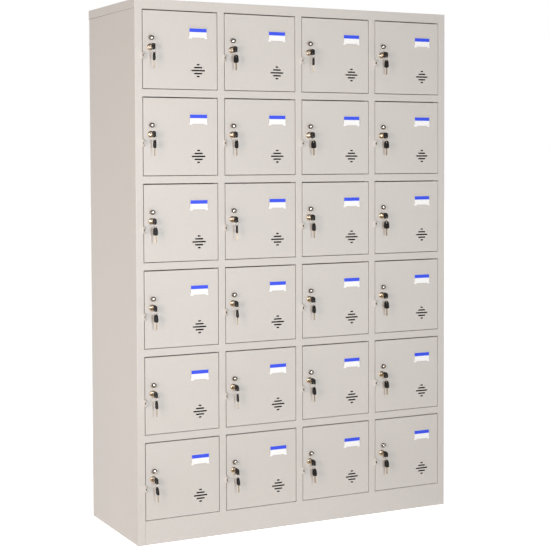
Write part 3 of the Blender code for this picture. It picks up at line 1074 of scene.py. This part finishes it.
def ear_shape(shape):
    """A half-round ear that stands out from Y zero, about its own middle."""
    f = sizes("fittings")
    root = sizes("cabinet").fold
    outline = [(0.0, f.ear_half)]
    for step in range(EAR_STEPS - 1, 0, -1):
        turn = math.pi * step / EAR_STEPS
        outline.append((-f.ear_reach * math.sin(turn), -f.ear_half * math.cos(turn)))
    outline += [(0.0, -f.ear_half), (root, -f.ear_half), (root, f.ear_half)]
    shape.slab(outline, 0.0, f.ear_thick, EAR_EDGE, across_x)


# The weld's cross-section, as shares of its reach. Zero is sunk a little into the ear and the face.
WELD_SHARES = ((0.0, 0.0), (1.0, 0.0), (1.0, 0.15), (0.55, 0.6), (0.15, 1.0), (0.0, 1.0))


def weld_bead(shape):
    """The weld along the foot of a fixed ear, a little uneven like a bead laid by hand."""
    f = sizes("fittings")
    rings = []
    for step in range(WELD_STEPS + 1):
        along = step / WELD_STEPS
        swell = 0.25 + 0.75 * math.sin(math.pi * along) ** 0.4 + 0.10 * (step % 2)
        reach = f.ear_weld * swell
        section = [[-share * reach if share else ARRIS for share in p] for p in WELD_SHARES]
        rings.append([(x, y, f.ear_half * (1.7 * along - 0.85)) for x, y in section])
    shape.loft(rings)


def drilled_ear(name, welded):
    f = sizes("fittings")
    shape = Shape()
    ear_shape(shape)
    if welded:
        weld_bead(shape)
    piece = shape.piece(name, ["ear"])
    drill = Shape()
    hole = circle(f.ear_hole, DRILL_SIDES, (-f.ear_hole_reach, 0.0))
    drill.prism(hole, (-f.ear_thick, 2 * f.ear_thick), across_x)
    cut(piece, drill.piece("drill", ["ear"]))
    middle = Vector((f.ear_thick / 2, -f.ear_hole_reach, 0.0))
    shade_middle = middle + Vector((0.0, HOLE_SHADE_RISE, 0.0))

    # The hole's walls take full painted shade, and so does a door ear's hidden face about its hole,
    # where the fixed ear shades it
    def wanted(face):
        if abs(face.normal.x) < 0.5 and (face.center - middle).length < 1.3 * f.ear_hole:
            return 0.0
        return 1.0 if face.normal.x < -0.9 and not welded else None

    mark_round(piece.data, shade_middle, f.ear_hole, (1, 2), wanted)
    return piece


def frame_ears():
    """The fixed padlock ears beside the doors."""
    f = sizes("fittings")
    z = opening_bottom(ROWS) + sizes("doors").bottom_gap + door_height() - f.ear_from_top
    first = Vector((opening_left(1) - f.ear_thick, FRONT, z))
    pattern = drilled_ear("ear_pattern", True)
    return at_each_doorway("frame_padlock_ears", pattern, first, "ear")


def rear_rivets():
    s = sizes("cabinet")
    start = Vector((SIDE_LOW.x + s.shoulder / 2, REAR, s.lowest_rivet))
    head = {"Radius": s.rivet, "Rise": s.rivet_rise, "Material": FINISH["ear"]}
    row = {"Left_foot": start, "Spread": -2 * start.x, "Pitch": s.rivet_pitch, "Count": RIVETS}
    return made_by_tree("rear_rivets", rivets, **row, **head)


# Doors


def door_pan():
    """The folded door with its ventilation slots, about its hinge line and lower edge."""
    d = sizes("doors")
    s = sizes("cabinet")
    hem_arc = reversed(fold_arc(HEM_FOLD_SHARE * s.sheet))
    profile = fold_arc(d.fold) + [(edge, d.depth - deep) for edge, deep in hem_arc]
    profile.append((d.hem, d.depth))
    low = (door_left() + d.trim, d.trim)
    high = (d.hinge - d.trim, door_height() - d.trim)
    shape = Shape()
    shape.tray(profile, low, high, d.fold, across_y)
    piece = thicken(shape.piece("door_pattern", outwards=(0, -1, 0)))
    values = {
        "Middle": Vector((d.hinge - d.slots_from_right, 0.0, d.slots_from_bottom)),
        "Count": d.slots,
        "Pitch": d.slot_pitch,
        "Widest": d.slot_width,
        "Narrowing": d.slot_narrowing,
        "Height": d.slot_height,
        "Depth": CUTTER_SHARE * s.sheet,
        "Material": FINISH["paint"],
    }
    return take_mesh(smooth(run_tree(piece, "Ventilation slots", slots, values)))


# The knob's neck and rim, as shares of its radius and its reach
KNOB_SHARES = (
    (0.62, 0.0), (0.62, 0.05), (0.52, 0.09), (0.5, 0.38), (0.66, 0.46), (0.92, 0.52), (1.0, 0.58)
)
KNOB_RIM_SHARE = 0.77

# The knob's screw: radii as shares of the knob's radius, and places in millimetres
KNOB_SCREW = ((0.42, 0.9), (0.42, 1.8), (0.28, 2.6), (0.05, 2.8))


def pull_knob():
    """A turned knob and the head of the screw that holds it from inside."""
    f = sizes("fittings")
    centre = (door_left() + f.from_left, door_height() - f.knob_from_top)
    r, reach = f.knob_radius, f.knob_reach
    shape = Shape()
    rim = KNOB_RIM_SHARE * reach
    profile = [(wide * r, -out * reach) for wide, out in KNOB_SHARES]
    for step in range(DOME_STEPS):
        turn = math.pi / 2 * step / DOME_STEPS
        profile.append((r * math.cos(turn), -rim - (reach - rim) * math.sin(turn)))
    profile.append((0.02 * r, -reach))
    shape.turned(profile, centre, KNOB_SIDES)
    shape.turned([(wide * r, y * MM) for wide, y in KNOB_SCREW], centre, PIN_SIDES)
    mesh = shape.pattern("knob_pattern", "knob")
    # The whole knob is marked for the painted dark reflection on its rim and neck
    return mark_round(mesh, Vector((centre[0], 0.0, centre[1])), r, (0, 2))


# The bezel's rounding, as shares of its radius and its thickness, from its edge to its middle
BEZEL_SHARES = (
    (1.0, 0.25), (0.97, 0.42), (0.9, 0.62), (0.81, 0.82), (0.73, 0.96), (0.68, 1.0), (0.635, 0.96)
)

# The lock's nut: radii as shares of the barrel's radius, and places in millimetres
NUT = ((1.34, 1.0), (1.38, 1.4), (1.38, 4.0), (1.30, 4.4))


def lock_body():
    """Bezel and barrel in one, with the nut that holds them in the door."""
    k = sizes("locks")
    shape = Shape()
    centre = (0.0, 0.0)
    bore = k.plug + BORE_PLAY
    profile = [(bore, k.barrel_end), (k.barrel, k.barrel_end), (k.barrel, 0.0), (k.bezel, 0.0)]
    profile += [(wide * k.bezel, -out * k.bezel_thick) for wide, out in BEZEL_SHARES]
    profile.append((bore, -0.80 * k.bezel_thick))
    shape.turned(profile, centre, BEZEL_SIDES, True)
    shape.turned([(wide * k.barrel, y * MM) for wide, y in NUT], centre, HEXAGON)
    return shape.pattern("lock_pattern", "gilt")


def hinge_pins():
    """The two pins, about the hinge line."""
    d = sizes("doors")
    s = sizes("cabinet")
    upper = door_height() + d.top_gap + s.sheet + d.pin_reach
    lower = -d.bottom_gap - s.sheet - d.pin_reach
    shape = Shape()
    section = circle(d.pin, PIN_SIDES, (0.0, d.hinge))
    for low, high in ((lower, d.pin_seat), (door_height() - d.pin_seat, upper)):
        shape.slab(section, low, high, PIN_EDGE_SHARE * d.pin, across_z)
    return shape.pattern("pin_pattern", "steel")


def door_ear():
    piece = drilled_ear("door_ear_pattern", False)
    top = door_height() - sizes("fittings").ear_from_top
    piece.data.transform(Matrix.Translation((door_left(), 0.0, top)))
    return take_mesh(smooth(piece))


def holder_edges():
    """Left, right, lower and upper edge of the card holder."""
    f = sizes("fittings")
    right = sizes("doors").hinge - f.holder_from_right
    top = door_height() - f.holder_from_top
    return right - f.holder_width, right, top - f.holder_height, top


# The card holder's upper hem: how far it stands out and how far below the top, in millimetres
HEM = ((PLATE / 2 / MM, 0.0), (1.3, 0.3), (2.0, 4.4), (PLATE / 2 / MM, 5.0))


def lip(outer, inner):
    """Cross-section of a lip that folds from the outer edge of the holder over the card."""
    reach = sizes("fittings").holder_reach
    wall = outer + math.copysign(LIP_WALL, inner - outer)
    rounding = outer + 0.6 * math.copysign(LIP_WALL, inner - outer)
    front, back = -reach, LIP_THICK - reach
    face = [(outer, -PLATE / 2), (outer, -0.75 * reach), (rounding, front), (inner, front)]
    return face + [(inner, back), (wall, back), (wall, -PLATE / 2)]


def card_holder():
    """A pressed plate whose sides and lower edge fold over the card."""
    f = sizes("fittings")
    left, right, bottom, top = holder_edges()
    shape = Shape()
    outline = rounded_rectangle((left, bottom), (right, top), PLATE_CORNER)
    shape.plate(outline, [(0.0, 0.0), (0.0, ARRIS - PLATE), (ARRIS, -PLATE)], across_y)
    hem = [(-out * MM, top - down * MM) for out, down in HEM]
    shape.prism(hem, (left + HEM_INSET, right - HEM_INSET), across_x)
    side_ends = (bottom + SIDE_LIP_FROM_BOTTOM, top - SIDE_LIP_FROM_TOP)
    for outer, inner in ((left, left + f.holder_lip), (right, right - f.holder_lip)):
        shape.prism(lip(outer, inner), side_ends, across_z)
    middle = (left + right) / 2
    lower_lip = [(y, z) for z, y in lip(bottom, bottom + LOWER_LIP)]
    shape.prism(lower_lip, (middle - LOWER_LIP_HALF, middle + LOWER_LIP_HALF), across_x)
    return shape.pattern("holder_pattern", "paint")


def card():
    """A plain card with a coloured strip along its top."""
    f = sizes("fittings")
    left, right, bottom, _ = holder_edges()
    middle = (left + right) / 2
    low = bottom + CARD_SEAT
    high = low + f.card_height
    left, right = middle - f.card_width / 2, middle + f.card_width / 2
    split = high - f.card_strip
    shape = Shape()
    shape.box((left, CARD_FRONT, low), (right, CARD_REAR, split))
    shape.finish = 1
    shape.box((left, CARD_FRONT, split), (right, CARD_REAR, high))
    return shape.pattern("card_pattern", "card", "strip")


# Locks and keys


def lock_plug():
    """The turning plug with its cam and the screw that holds the cam."""
    k = sizes("locks")
    shape = Shape()
    front = -k.bezel_thick + PLUG_SUNK
    profile = [(0.05 * k.plug, front), (0.90 * k.plug, front), (k.plug, front + 0.1 * k.plug)]
    profile.append((k.plug, k.cam_front + k.cam_thick / 2))
    shape.turned(profile, (0.0, 0.0), BEZEL_SIDES)
    half = k.cam_width / 2
    low, high = (-half, -half), (half, k.cam_reach)
    outline = rounded_rectangle(low, high, ROUND_END_SHARE * half, CAM_STEPS)
    rear = k.cam_front + k.cam_thick
    shape.slab(outline, k.cam_front, rear, ARRIS, across_y)
    head = [(0.75, -ARRIS), (0.75, SCREW_EDGE), (0.60, SCREW_RISE)]
    shape.turned([(wide * half, rear + rise) for wide, rise in head], (0.0, 0.0), HEXAGON)
    return shape.pattern("plug_pattern", "nickel")


# Half of a key's bow, as shares of its length and its half width
BOW_SHARES = (
    (0, 0.3), (0.025, 0.52), (0.08, 0.7), (0.16, 0.82), (0.29, 0.9), (0.47, 0.96),
    (0.68, 1.0), (0.82, 0.97), (0.91, 0.87), (0.97, 0.68), (1.0, 0.4),
)

# Half of a bow's raised rim: insets in millimetres, and shares of its half thickness
BOW_RIM = ((3.1, 0.78), (2.5, 1.0), (1.2, 1.0), (0.4, 0.8), (0.0, 0.42))


# A blade's tip and its row of cuts, as shares of its length and its half width
TIP_SHARES = ((0.94, 0.80), (1.0, 0.45))
CUTS_START_SHARE, CUTS_END_SHARE, CUT_SHARE = 0.16, 0.92, 0.30

# Depths of the spare key's cuts in millimetres
KEY_CUTS = (0.9, 0.3, 1.1, 0.6, 1.0, 0.4)


def bow_outline():
    """A key's grip, from its rounded end at zero to the blade at its full length."""
    k = sizes("locks")
    return mirrored([(n * k.bow_length, wide * (k.bow_width / 2)) for n, wide in BOW_SHARES])


def bow_levels():
    """Insets and places through a bow's thickness, with a raised rim on both faces."""
    half = sizes("locks").bow_thick / 2
    return mirrored([(edge * MM, -share * half) for edge, share in BOW_RIM])


def blade_outline(start, end, cuts=()):
    """A blade from start to end along the key, with a row of cuts in both edges."""
    half = sizes("locks").blade_width / 2
    span = end - start
    upper = [(start, half)]
    for index, depth in enumerate(cuts):
        pitch = (CUTS_END_SHARE - CUTS_START_SHARE) / len(cuts)
        middle = start + span * (CUTS_START_SHARE + pitch * (index + 0.5))
        reach = span * pitch * CUT_SHARE
        upper += [(middle - reach, half - depth), (middle + reach, half - depth)]
    return mirrored(upper + [(start + n * span, wide * half) for n, wide in TIP_SHARES])


def drilled_bow(name, place, blade):
    """A key: its bow with the ring's hole, and its brass, placed by a function."""
    k = sizes("locks")
    shape = Shape()
    shape.plate(bow_outline()[::-1], bow_levels(), place)
    piece = shape.piece(name, ["plastic", "brass"])
    drill = Shape()
    low, high = (k.hole_near, -k.hole_half), (k.hole_far, k.hole_half)
    hole = rounded_rectangle(low, high, ROUND_END_SHARE * k.hole_half, KEY_HOLE_STEPS)
    drill.prism(hole, (-k.bow_thick, k.bow_thick), place)
    cut(piece, drill.piece("drill", ["plastic"]))
    brass = Shape()
    brass.finish = 1
    brass.slab(blade[::-1], -k.blade_thick / 2, k.blade_thick / 2, ARRIS, place)
    metal = brass.piece("blade", ["plastic", "brass"])
    whole = bmesh.new()
    whole.from_mesh(piece.data)
    whole.from_mesh(metal.data)
    bmesh.ops.recalc_face_normals(whole, faces=whole.faces)
    whole.to_mesh(piece.data)
    whole.free()
    drop(metal)
    return take_mesh(smooth(piece))


def inserted_key():
    """The key in the lock: its grip stands square to the door, edge up."""
    k = sizes("locks")
    tip = k.bezel_thick + k.key_gap + k.bow_length

    def place(along, wide, through):
        return (through, along - tip, wide)

    shank = blade_outline(k.bow_length - SHANK_IN_BOW, tip - k.bezel_thick + SHANK_IN_LOCK)
    return drilled_bow("inserted_key_pattern", place, shank)


def spare_key():
    """The spare key, hanging, about the ring's wire in its hole."""
    k = sizes("locks")
    hold = k.hole_near + k.ring_wire

    def place(along, wide, through):
        return (through, wide, hold - along)

    cuts = [depth * MM for depth in KEY_CUTS]
    blade = blade_outline(k.bow_length - SHANK_IN_BOW, k.bow_length + k.blade_length, cuts)
    return drilled_bow("spare_key_pattern", place, blade)


def split_ring():
    """The key ring, square to Y, about its middle."""
    k = sizes("locks")
    wire = {"Radius": k.ring, "Wire": k.ring_wire, "Turns": RING_TURNS}
    piece = made_by_tree("ring_pattern", wire_turns, **wire, Material=FINISH["ring"])
    middle = sum((Vector(v.co) for v in piece.data.vertices), Vector()) / len(piece.data.vertices)
    piece.data.transform(Matrix.Translation((0.0, -middle.y, 0.0)))
    return take_mesh(piece)


# How far the key rings have turned from facing the front
RING_TURN = math.radians(38)

# How far each spare key has turned about its ring and how far it leans, in degrees, row by row
SPARE_POSES = (
    ((-4, 0), (22, 0), (-14, 0), (8, 0)),
    ((2, 0), (4, 1), (20, 1), (22, 0)),
    ((20, 1), (-12, 0), (4, 2), (30, 0)),
    ((14, 2), (-6, 2), (2, 1), (18, 1)),
    ((-2, 1), (-10, 2), (4, 2), (16, 3)),
    ((2, 5), (2, 4), (14, 4), (14, 2)),
)


# Stage

# Each lamp's place, size and colour
LAMPS = {
    "front": ((-0.70, -3.90, 1.18), 0.42, (0.857, 0.929, 1.0)),
    "key": ((-3.3, -3.1, 1.35), 1.1, (1.0, 0.80, 0.70)),
    "side": ((-3.2, 0.5, 0.62), 1.2, (0.90, 0.93, 1.0)),
}
FLOOR_HALF = 30.0
FLOOR_GREY = (0.82, 0.82, 0.82, 1.0)
WHITE = (1.0, 1.0, 1.0)


def seen_or_reflected(tree):
    """One for rays from the camera and rays that a glossy or clear surface sends on."""
    kinds = ("Is Camera Ray", "Is Glossy Ray", "Is Transmission Ray")
    camera, glossy, clear = (tree.node("ShaderNodeLightPath", output=kind) for kind in kinds)
    return tree.maths("MAXIMUM", tree.maths("MAXIMUM", camera, glossy), clear)


def make_floor():
    g = sizes("stage")
    shape = Shape()
    corners = rectangle((-FLOOR_HALF, -FLOOR_HALF), (FLOOR_HALF, FLOOR_HALF))
    shape.quad([(x, y, 0.0) for x, y in corners])
    FINISH["floor"] = bpy.data.materials.new("pale_floor")
    tree = cleared_tree(FINISH["floor"])
    matt = tree.node("ShaderNodeBsdfDiffuse", {"Color": FLOOR_GREY})
    glow = tree.node("ShaderNodeEmission", {"Strength": seen_or_reflected(tree) * g.floor_glow})
    both = tree.node("ShaderNodeAddShader", {0: matt, 1: glow})
    tree.node("ShaderNodeOutputMaterial", {"Surface": both})
    shape.piece("studio_floor", ["floor"], (0, 0, 1))


def make_flags():
    """Dark and warm panels round the studio, which only metal and gloss reflect."""
    far, near, rear, side, top, low = -6.5, -0.45, 2.0, 4.5, 4.6, 0.01
    dark, warm = (0.030, 0.024, 0.020), (0.30, 0.20, 0.11)
    wide, deep, tall = (2 * side, 0.0, 0.0), (0.0, rear - far, 0.0), (0.0, 0.0, top)
    panels = {
        "ceiling_flag": (dark, (-side, far, top), wide, deep),
        "right_flag": (dark, (side, far, 0.0), deep, tall),
        "left_flag": (dark, (-side, -rear, 0.0), (0.0, 2 * rear, 0.0), tall),
        "low_flag": (warm, (-side, far, low), wide, (0.0, near - far, 0.0)),
    }
    for name, (shade, corner, first, second) in panels.items():
        FINISH[name] = bpy.data.materials.new(name)
        tree = cleared_tree(FINISH[name])
        light = tree.node("ShaderNodeEmission", {"Color": (*shade, 1.0)})
        tree.node("ShaderNodeOutputMaterial", {"Surface": light})
        FINISH[name].cycles.emission_sampling = "NONE"
        start, first, second = Vector(corner), Vector(first), Vector(second)
        shape = Shape()
        shape.quad([start, start + first, start + first + second, start + second])
        panel = shape.piece(name, [name])
        for ray in ("camera", "diffuse", "shadow", "transmission"):
            setattr(panel, "visible_" + ray, False)


def make_surroundings():
    g = sizes("stage")
    world = bpy.data.worlds.new("studio_white")
    bpy.context.scene.world = world
    tree = cleared_tree(world)
    colour_seen = tree.mix(seen_or_reflected(tree), scaled(g.fill_colour, g.fill), WHITE)
    light = tree.node("ShaderNodeBackground", {"Color": colour_seen})
    tree.node("ShaderNodeOutputWorld", {"Surface": light})


def soft_lamp(name, place, target, size, power, tint):
    lamp = bpy.data.lights.new(name, "AREA")
    lamp.shape = "SQUARE"
    lamp.size = size
    lamp.energy = power
    lamp.color = tint
    item = new_object(name, lamp)
    item.location = place
    item.rotation_euler = (target - Vector(place)).to_track_quat("-Z", "Y").to_euler()
    item.visible_camera = False


def make_lamps():
    """The lamps, aimed at the middle of the front or of the left side."""
    g = sizes("stage")
    for name, (place, size, tint) in LAMPS.items():
        target = Vector((0.0, FRONT, HEIGHT / 2))
        if name == "side":
            target = Vector((-WIDTH / 2, 0.0, HEIGHT / 2))
        soft_lamp(f"{name}_lamp", place, target, size, getattr(g, f"{name}_power"), tint)


def make_camera():
    g = sizes("stage")
    lens = bpy.data.cameras.new("camera")
    lens.lens = g.lens
    lens.sensor_width = 36.0
    lens.shift_x = g.shift_x
    lens.shift_y = g.shift_y
    lens.clip_end = 100.0
    item = new_object("camera", lens)
    turn = (
        Matrix.Rotation(-g.camera_yaw, 4, "Z")
        @ Matrix.Rotation(math.pi / 2 + g.camera_pitch, 4, "X")
        @ Matrix.Rotation(g.camera_roll, 4, "Z")
    )
    item.matrix_world = Matrix.Translation((g.camera_x, g.camera_y, g.camera_z)) @ turn
    bpy.context.scene.camera = item
    bpy.context.scene.view_settings.view_transform = "Standard"


# Operators


class LOCKER_OT_finishes(bpy.types.Operator):
    """Make the paint, metals, plastic and card."""

    bl_idname = "locker.finishes"
    bl_label = "Finishes"

    def execute(self, context):
        make_finishes()
        return {"FINISHED"}


class LOCKER_OT_cabinet(bpy.types.Operator):
    """Build the welded front with its sides, the cap, the back and the kick plate."""

    bl_idname = "locker.cabinet"
    bl_label = "Cabinet"

    def execute(self, context):
        partitions = [f"partition_{column}" for column in range(1, COLUMNS)]
        shelves = [f"shelf_{row}" for row in range(1, ROWS)]
        sides = ["left_side_panel", "right_side_panel"]
        fit(welded_front(), "cabinet", "powder_coat", *sides, *partitions, *shelves)
        fit(cap_lid(), "cabinet", "powder_coat", "top_cap")
        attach(seals(), "cabinet")
        fit(kick_plate(), "cabinet", "powder_coat", "back_and_base_sheet")
        fit(back_sheet(), "cabinet", "powder_coat", "back_and_base_sheet")
        return {"FINISHED"}


class LOCKER_OT_inside(bpy.types.Operator):
    """Build the shelves, the floor, the uprights behind the mullions and the door stops."""

    bl_idname = "locker.inside"
    bl_label = "Inside"

    def execute(self, context):
        for row in range(1, ROWS):
            level = level_sheet(f"shelf_sheet_{row}", opening_bottom(row))
            fit(level, "cabinet", "powder_coat", f"shelf_{row}")
        floor = level_sheet("floor_sheet", opening_bottom(ROWS))
        fit(floor, "cabinet", "powder_coat", "back_and_base_sheet")
        for column in range(1, COLUMNS):
            left = opening_left(column + 1) - sizes("cabinet").mullion
            web = upright_web(f"upright_web_{column}", left)
            fit(web, "cabinet", "powder_coat", f"partition_{column}")
        fit(door_stops(), "cabinet", "powder_coat")
        return {"FINISHED"}


class LOCKER_OT_frame_fittings(bpy.types.Operator):
    """Fix the padlock ears to the frame and the rivets to its back."""

    bl_idname = "locker.frame_fittings"
    bl_label = "Frame fittings"

    def execute(self, context):
        fit(frame_ears(), "cabinet", "ear_zinc")
        fit(rear_rivets(), "cabinet", "ear_zinc")
        return {"FINISHED"}


class LOCKER_OT_doors(bpy.types.Operator):
    """Hang the doors with their slots and hinge pins."""

    bl_idname = "locker.doors"
    bl_label = "Doors"

    def execute(self, context):
        pan, pins = door_pan(), hinge_pins()
        for cell, place, _ in cells():
            door = f"door_{cell}"
            copy_to(pan, f"door_pan_{cell}", place, door, "powder_coat", door)
            copy_to(pins, f"hinge_pins_{cell}", place, door, "lock_metal")
        return {"FINISHED"}


class LOCKER_OT_door_fittings(bpy.types.Operator):
    """Fix the knob, the lock's body, the padlock ear, the card holder and the card to each door."""

    bl_idname = "locker.door_fittings"
    bl_label = "Door fittings"

    def execute(self, context):
        knob, body, ear, holder, label = (
            make() for make in (pull_knob, lock_body, door_ear, card_holder, card)
        )
        for cell, place, lock_place in cells():
            door = f"door_{cell}"
            copy_to(knob, f"pull_knob_{cell}", place, door, "lock_metal")
            copy_to(body, f"lock_bezel_{cell}", lock_place, door, "lock_metal")
            copy_to(ear, f"padlock_ear_{cell}", place, door, "ear_zinc")
            copy_to(holder, f"card_holder_{cell}", place, door, "powder_coat")
            copy_to(label, f"card_{cell}", place, door, "card_paper")
        return {"FINISHED"}


class LOCKER_OT_locks(bpy.types.Operator):
    """Fit the turning plugs with their cams and keys."""

    bl_idname = "locker.locks"
    bl_label = "Locks and keys"

    def execute(self, context):
        k = sizes("locks")
        plug, key, ring, spare = lock_plug(), inserted_key(), split_ring(), spare_key()
        ring_drop = k.hole_half - k.ring_wire + k.ring
        ring_middle = Vector((0.0, -k.ring_reach, -ring_drop))
        spare_hold = Vector((0.0, -k.ring_reach, -(ring_drop + k.ring)))
        poses = [pose for row in SPARE_POSES for pose in row]
        for (cell, _, place), pose in zip(cells(), poses):
            turn, lean = (math.radians(angle) for angle in pose)
            lock = f"lock_{cell}"
            copy_to(plug, f"lock_plug_{cell}", place, lock, "lock_metal", lock)
            copy_to(key, f"inserted_key_{cell}", place, lock, "key_plastic")
            facing = Matrix.Rotation(turn / 2 + RING_TURN, 4, "Z")
            move = Matrix.Translation(place + ring_middle) @ facing
            copy_to(ring, f"key_ring_{cell}", move, lock, "lock_metal")
            swing = Matrix.Rotation(-lean, 4, "Y") @ Matrix.Rotation(turn, 4, "Z")
            move = Matrix.Translation(place + spare_hold) @ swing
            copy_to(spare, f"spare_key_{cell}", move, lock, "key_plastic")
        return {"FINISHED"}


class LOCKER_OT_stage(bpy.types.Operator):
    """Set up the floor, the light all round, the lamps and the camera."""

    bl_idname = "locker.stage"
    bl_label = "Stage"

    def execute(self, context):
        make_floor()
        make_surroundings()
        make_flags()
        make_lamps()
        make_camera()
        return {"FINISHED"}


STEPS = (
    LOCKER_OT_finishes,
    LOCKER_OT_cabinet,
    LOCKER_OT_inside,
    LOCKER_OT_frame_fittings,
    LOCKER_OT_doors,
    LOCKER_OT_door_fittings,
    LOCKER_OT_locks,
    LOCKER_OT_stage,
)


class LOCKER_PT_panel(bpy.types.Panel):
    """Lists the locker's steps in the sidebar."""

    bl_idname = "LOCKER_PT_panel"
    bl_label = "Cube Locker"
    bl_space_type = "VIEW_3D"
    bl_region_type = "UI"
    bl_category = "Locker"

    def draw(self, context):
        for step in STEPS:
            self.layout.operator(step.bl_idname)
        for group in GROUPS:
            box = self.layout.box()
            for name in getattr(context.scene, group).bl_rna.properties.keys():
                if name not in ("rna_type", "name"):
                    box.prop(getattr(context.scene, group), name)


def register():
    for kind in (*GROUPS.values(), *STEPS, LOCKER_PT_panel):
        bpy.utils.register_class(kind)
    for name, kind in GROUPS.items():
        setattr(bpy.types.Scene, name, PointerProperty(type=kind))


def unregister():
    for name in GROUPS:
        delattr(bpy.types.Scene, name)
    for kind in reversed((*GROUPS.values(), *STEPS, LOCKER_PT_panel)):
        bpy.utils.unregister_class(kind)


def main():
    register()
    bpy.ops.locker.finishes()
    bpy.ops.locker.cabinet()
    bpy.ops.locker.inside()
    bpy.ops.locker.frame_fittings()
    bpy.ops.locker.doors()
    bpy.ops.locker.door_fittings()
    bpy.ops.locker.locks()
    bpy.ops.locker.stage()


if __name__ == "__main__":
    main()
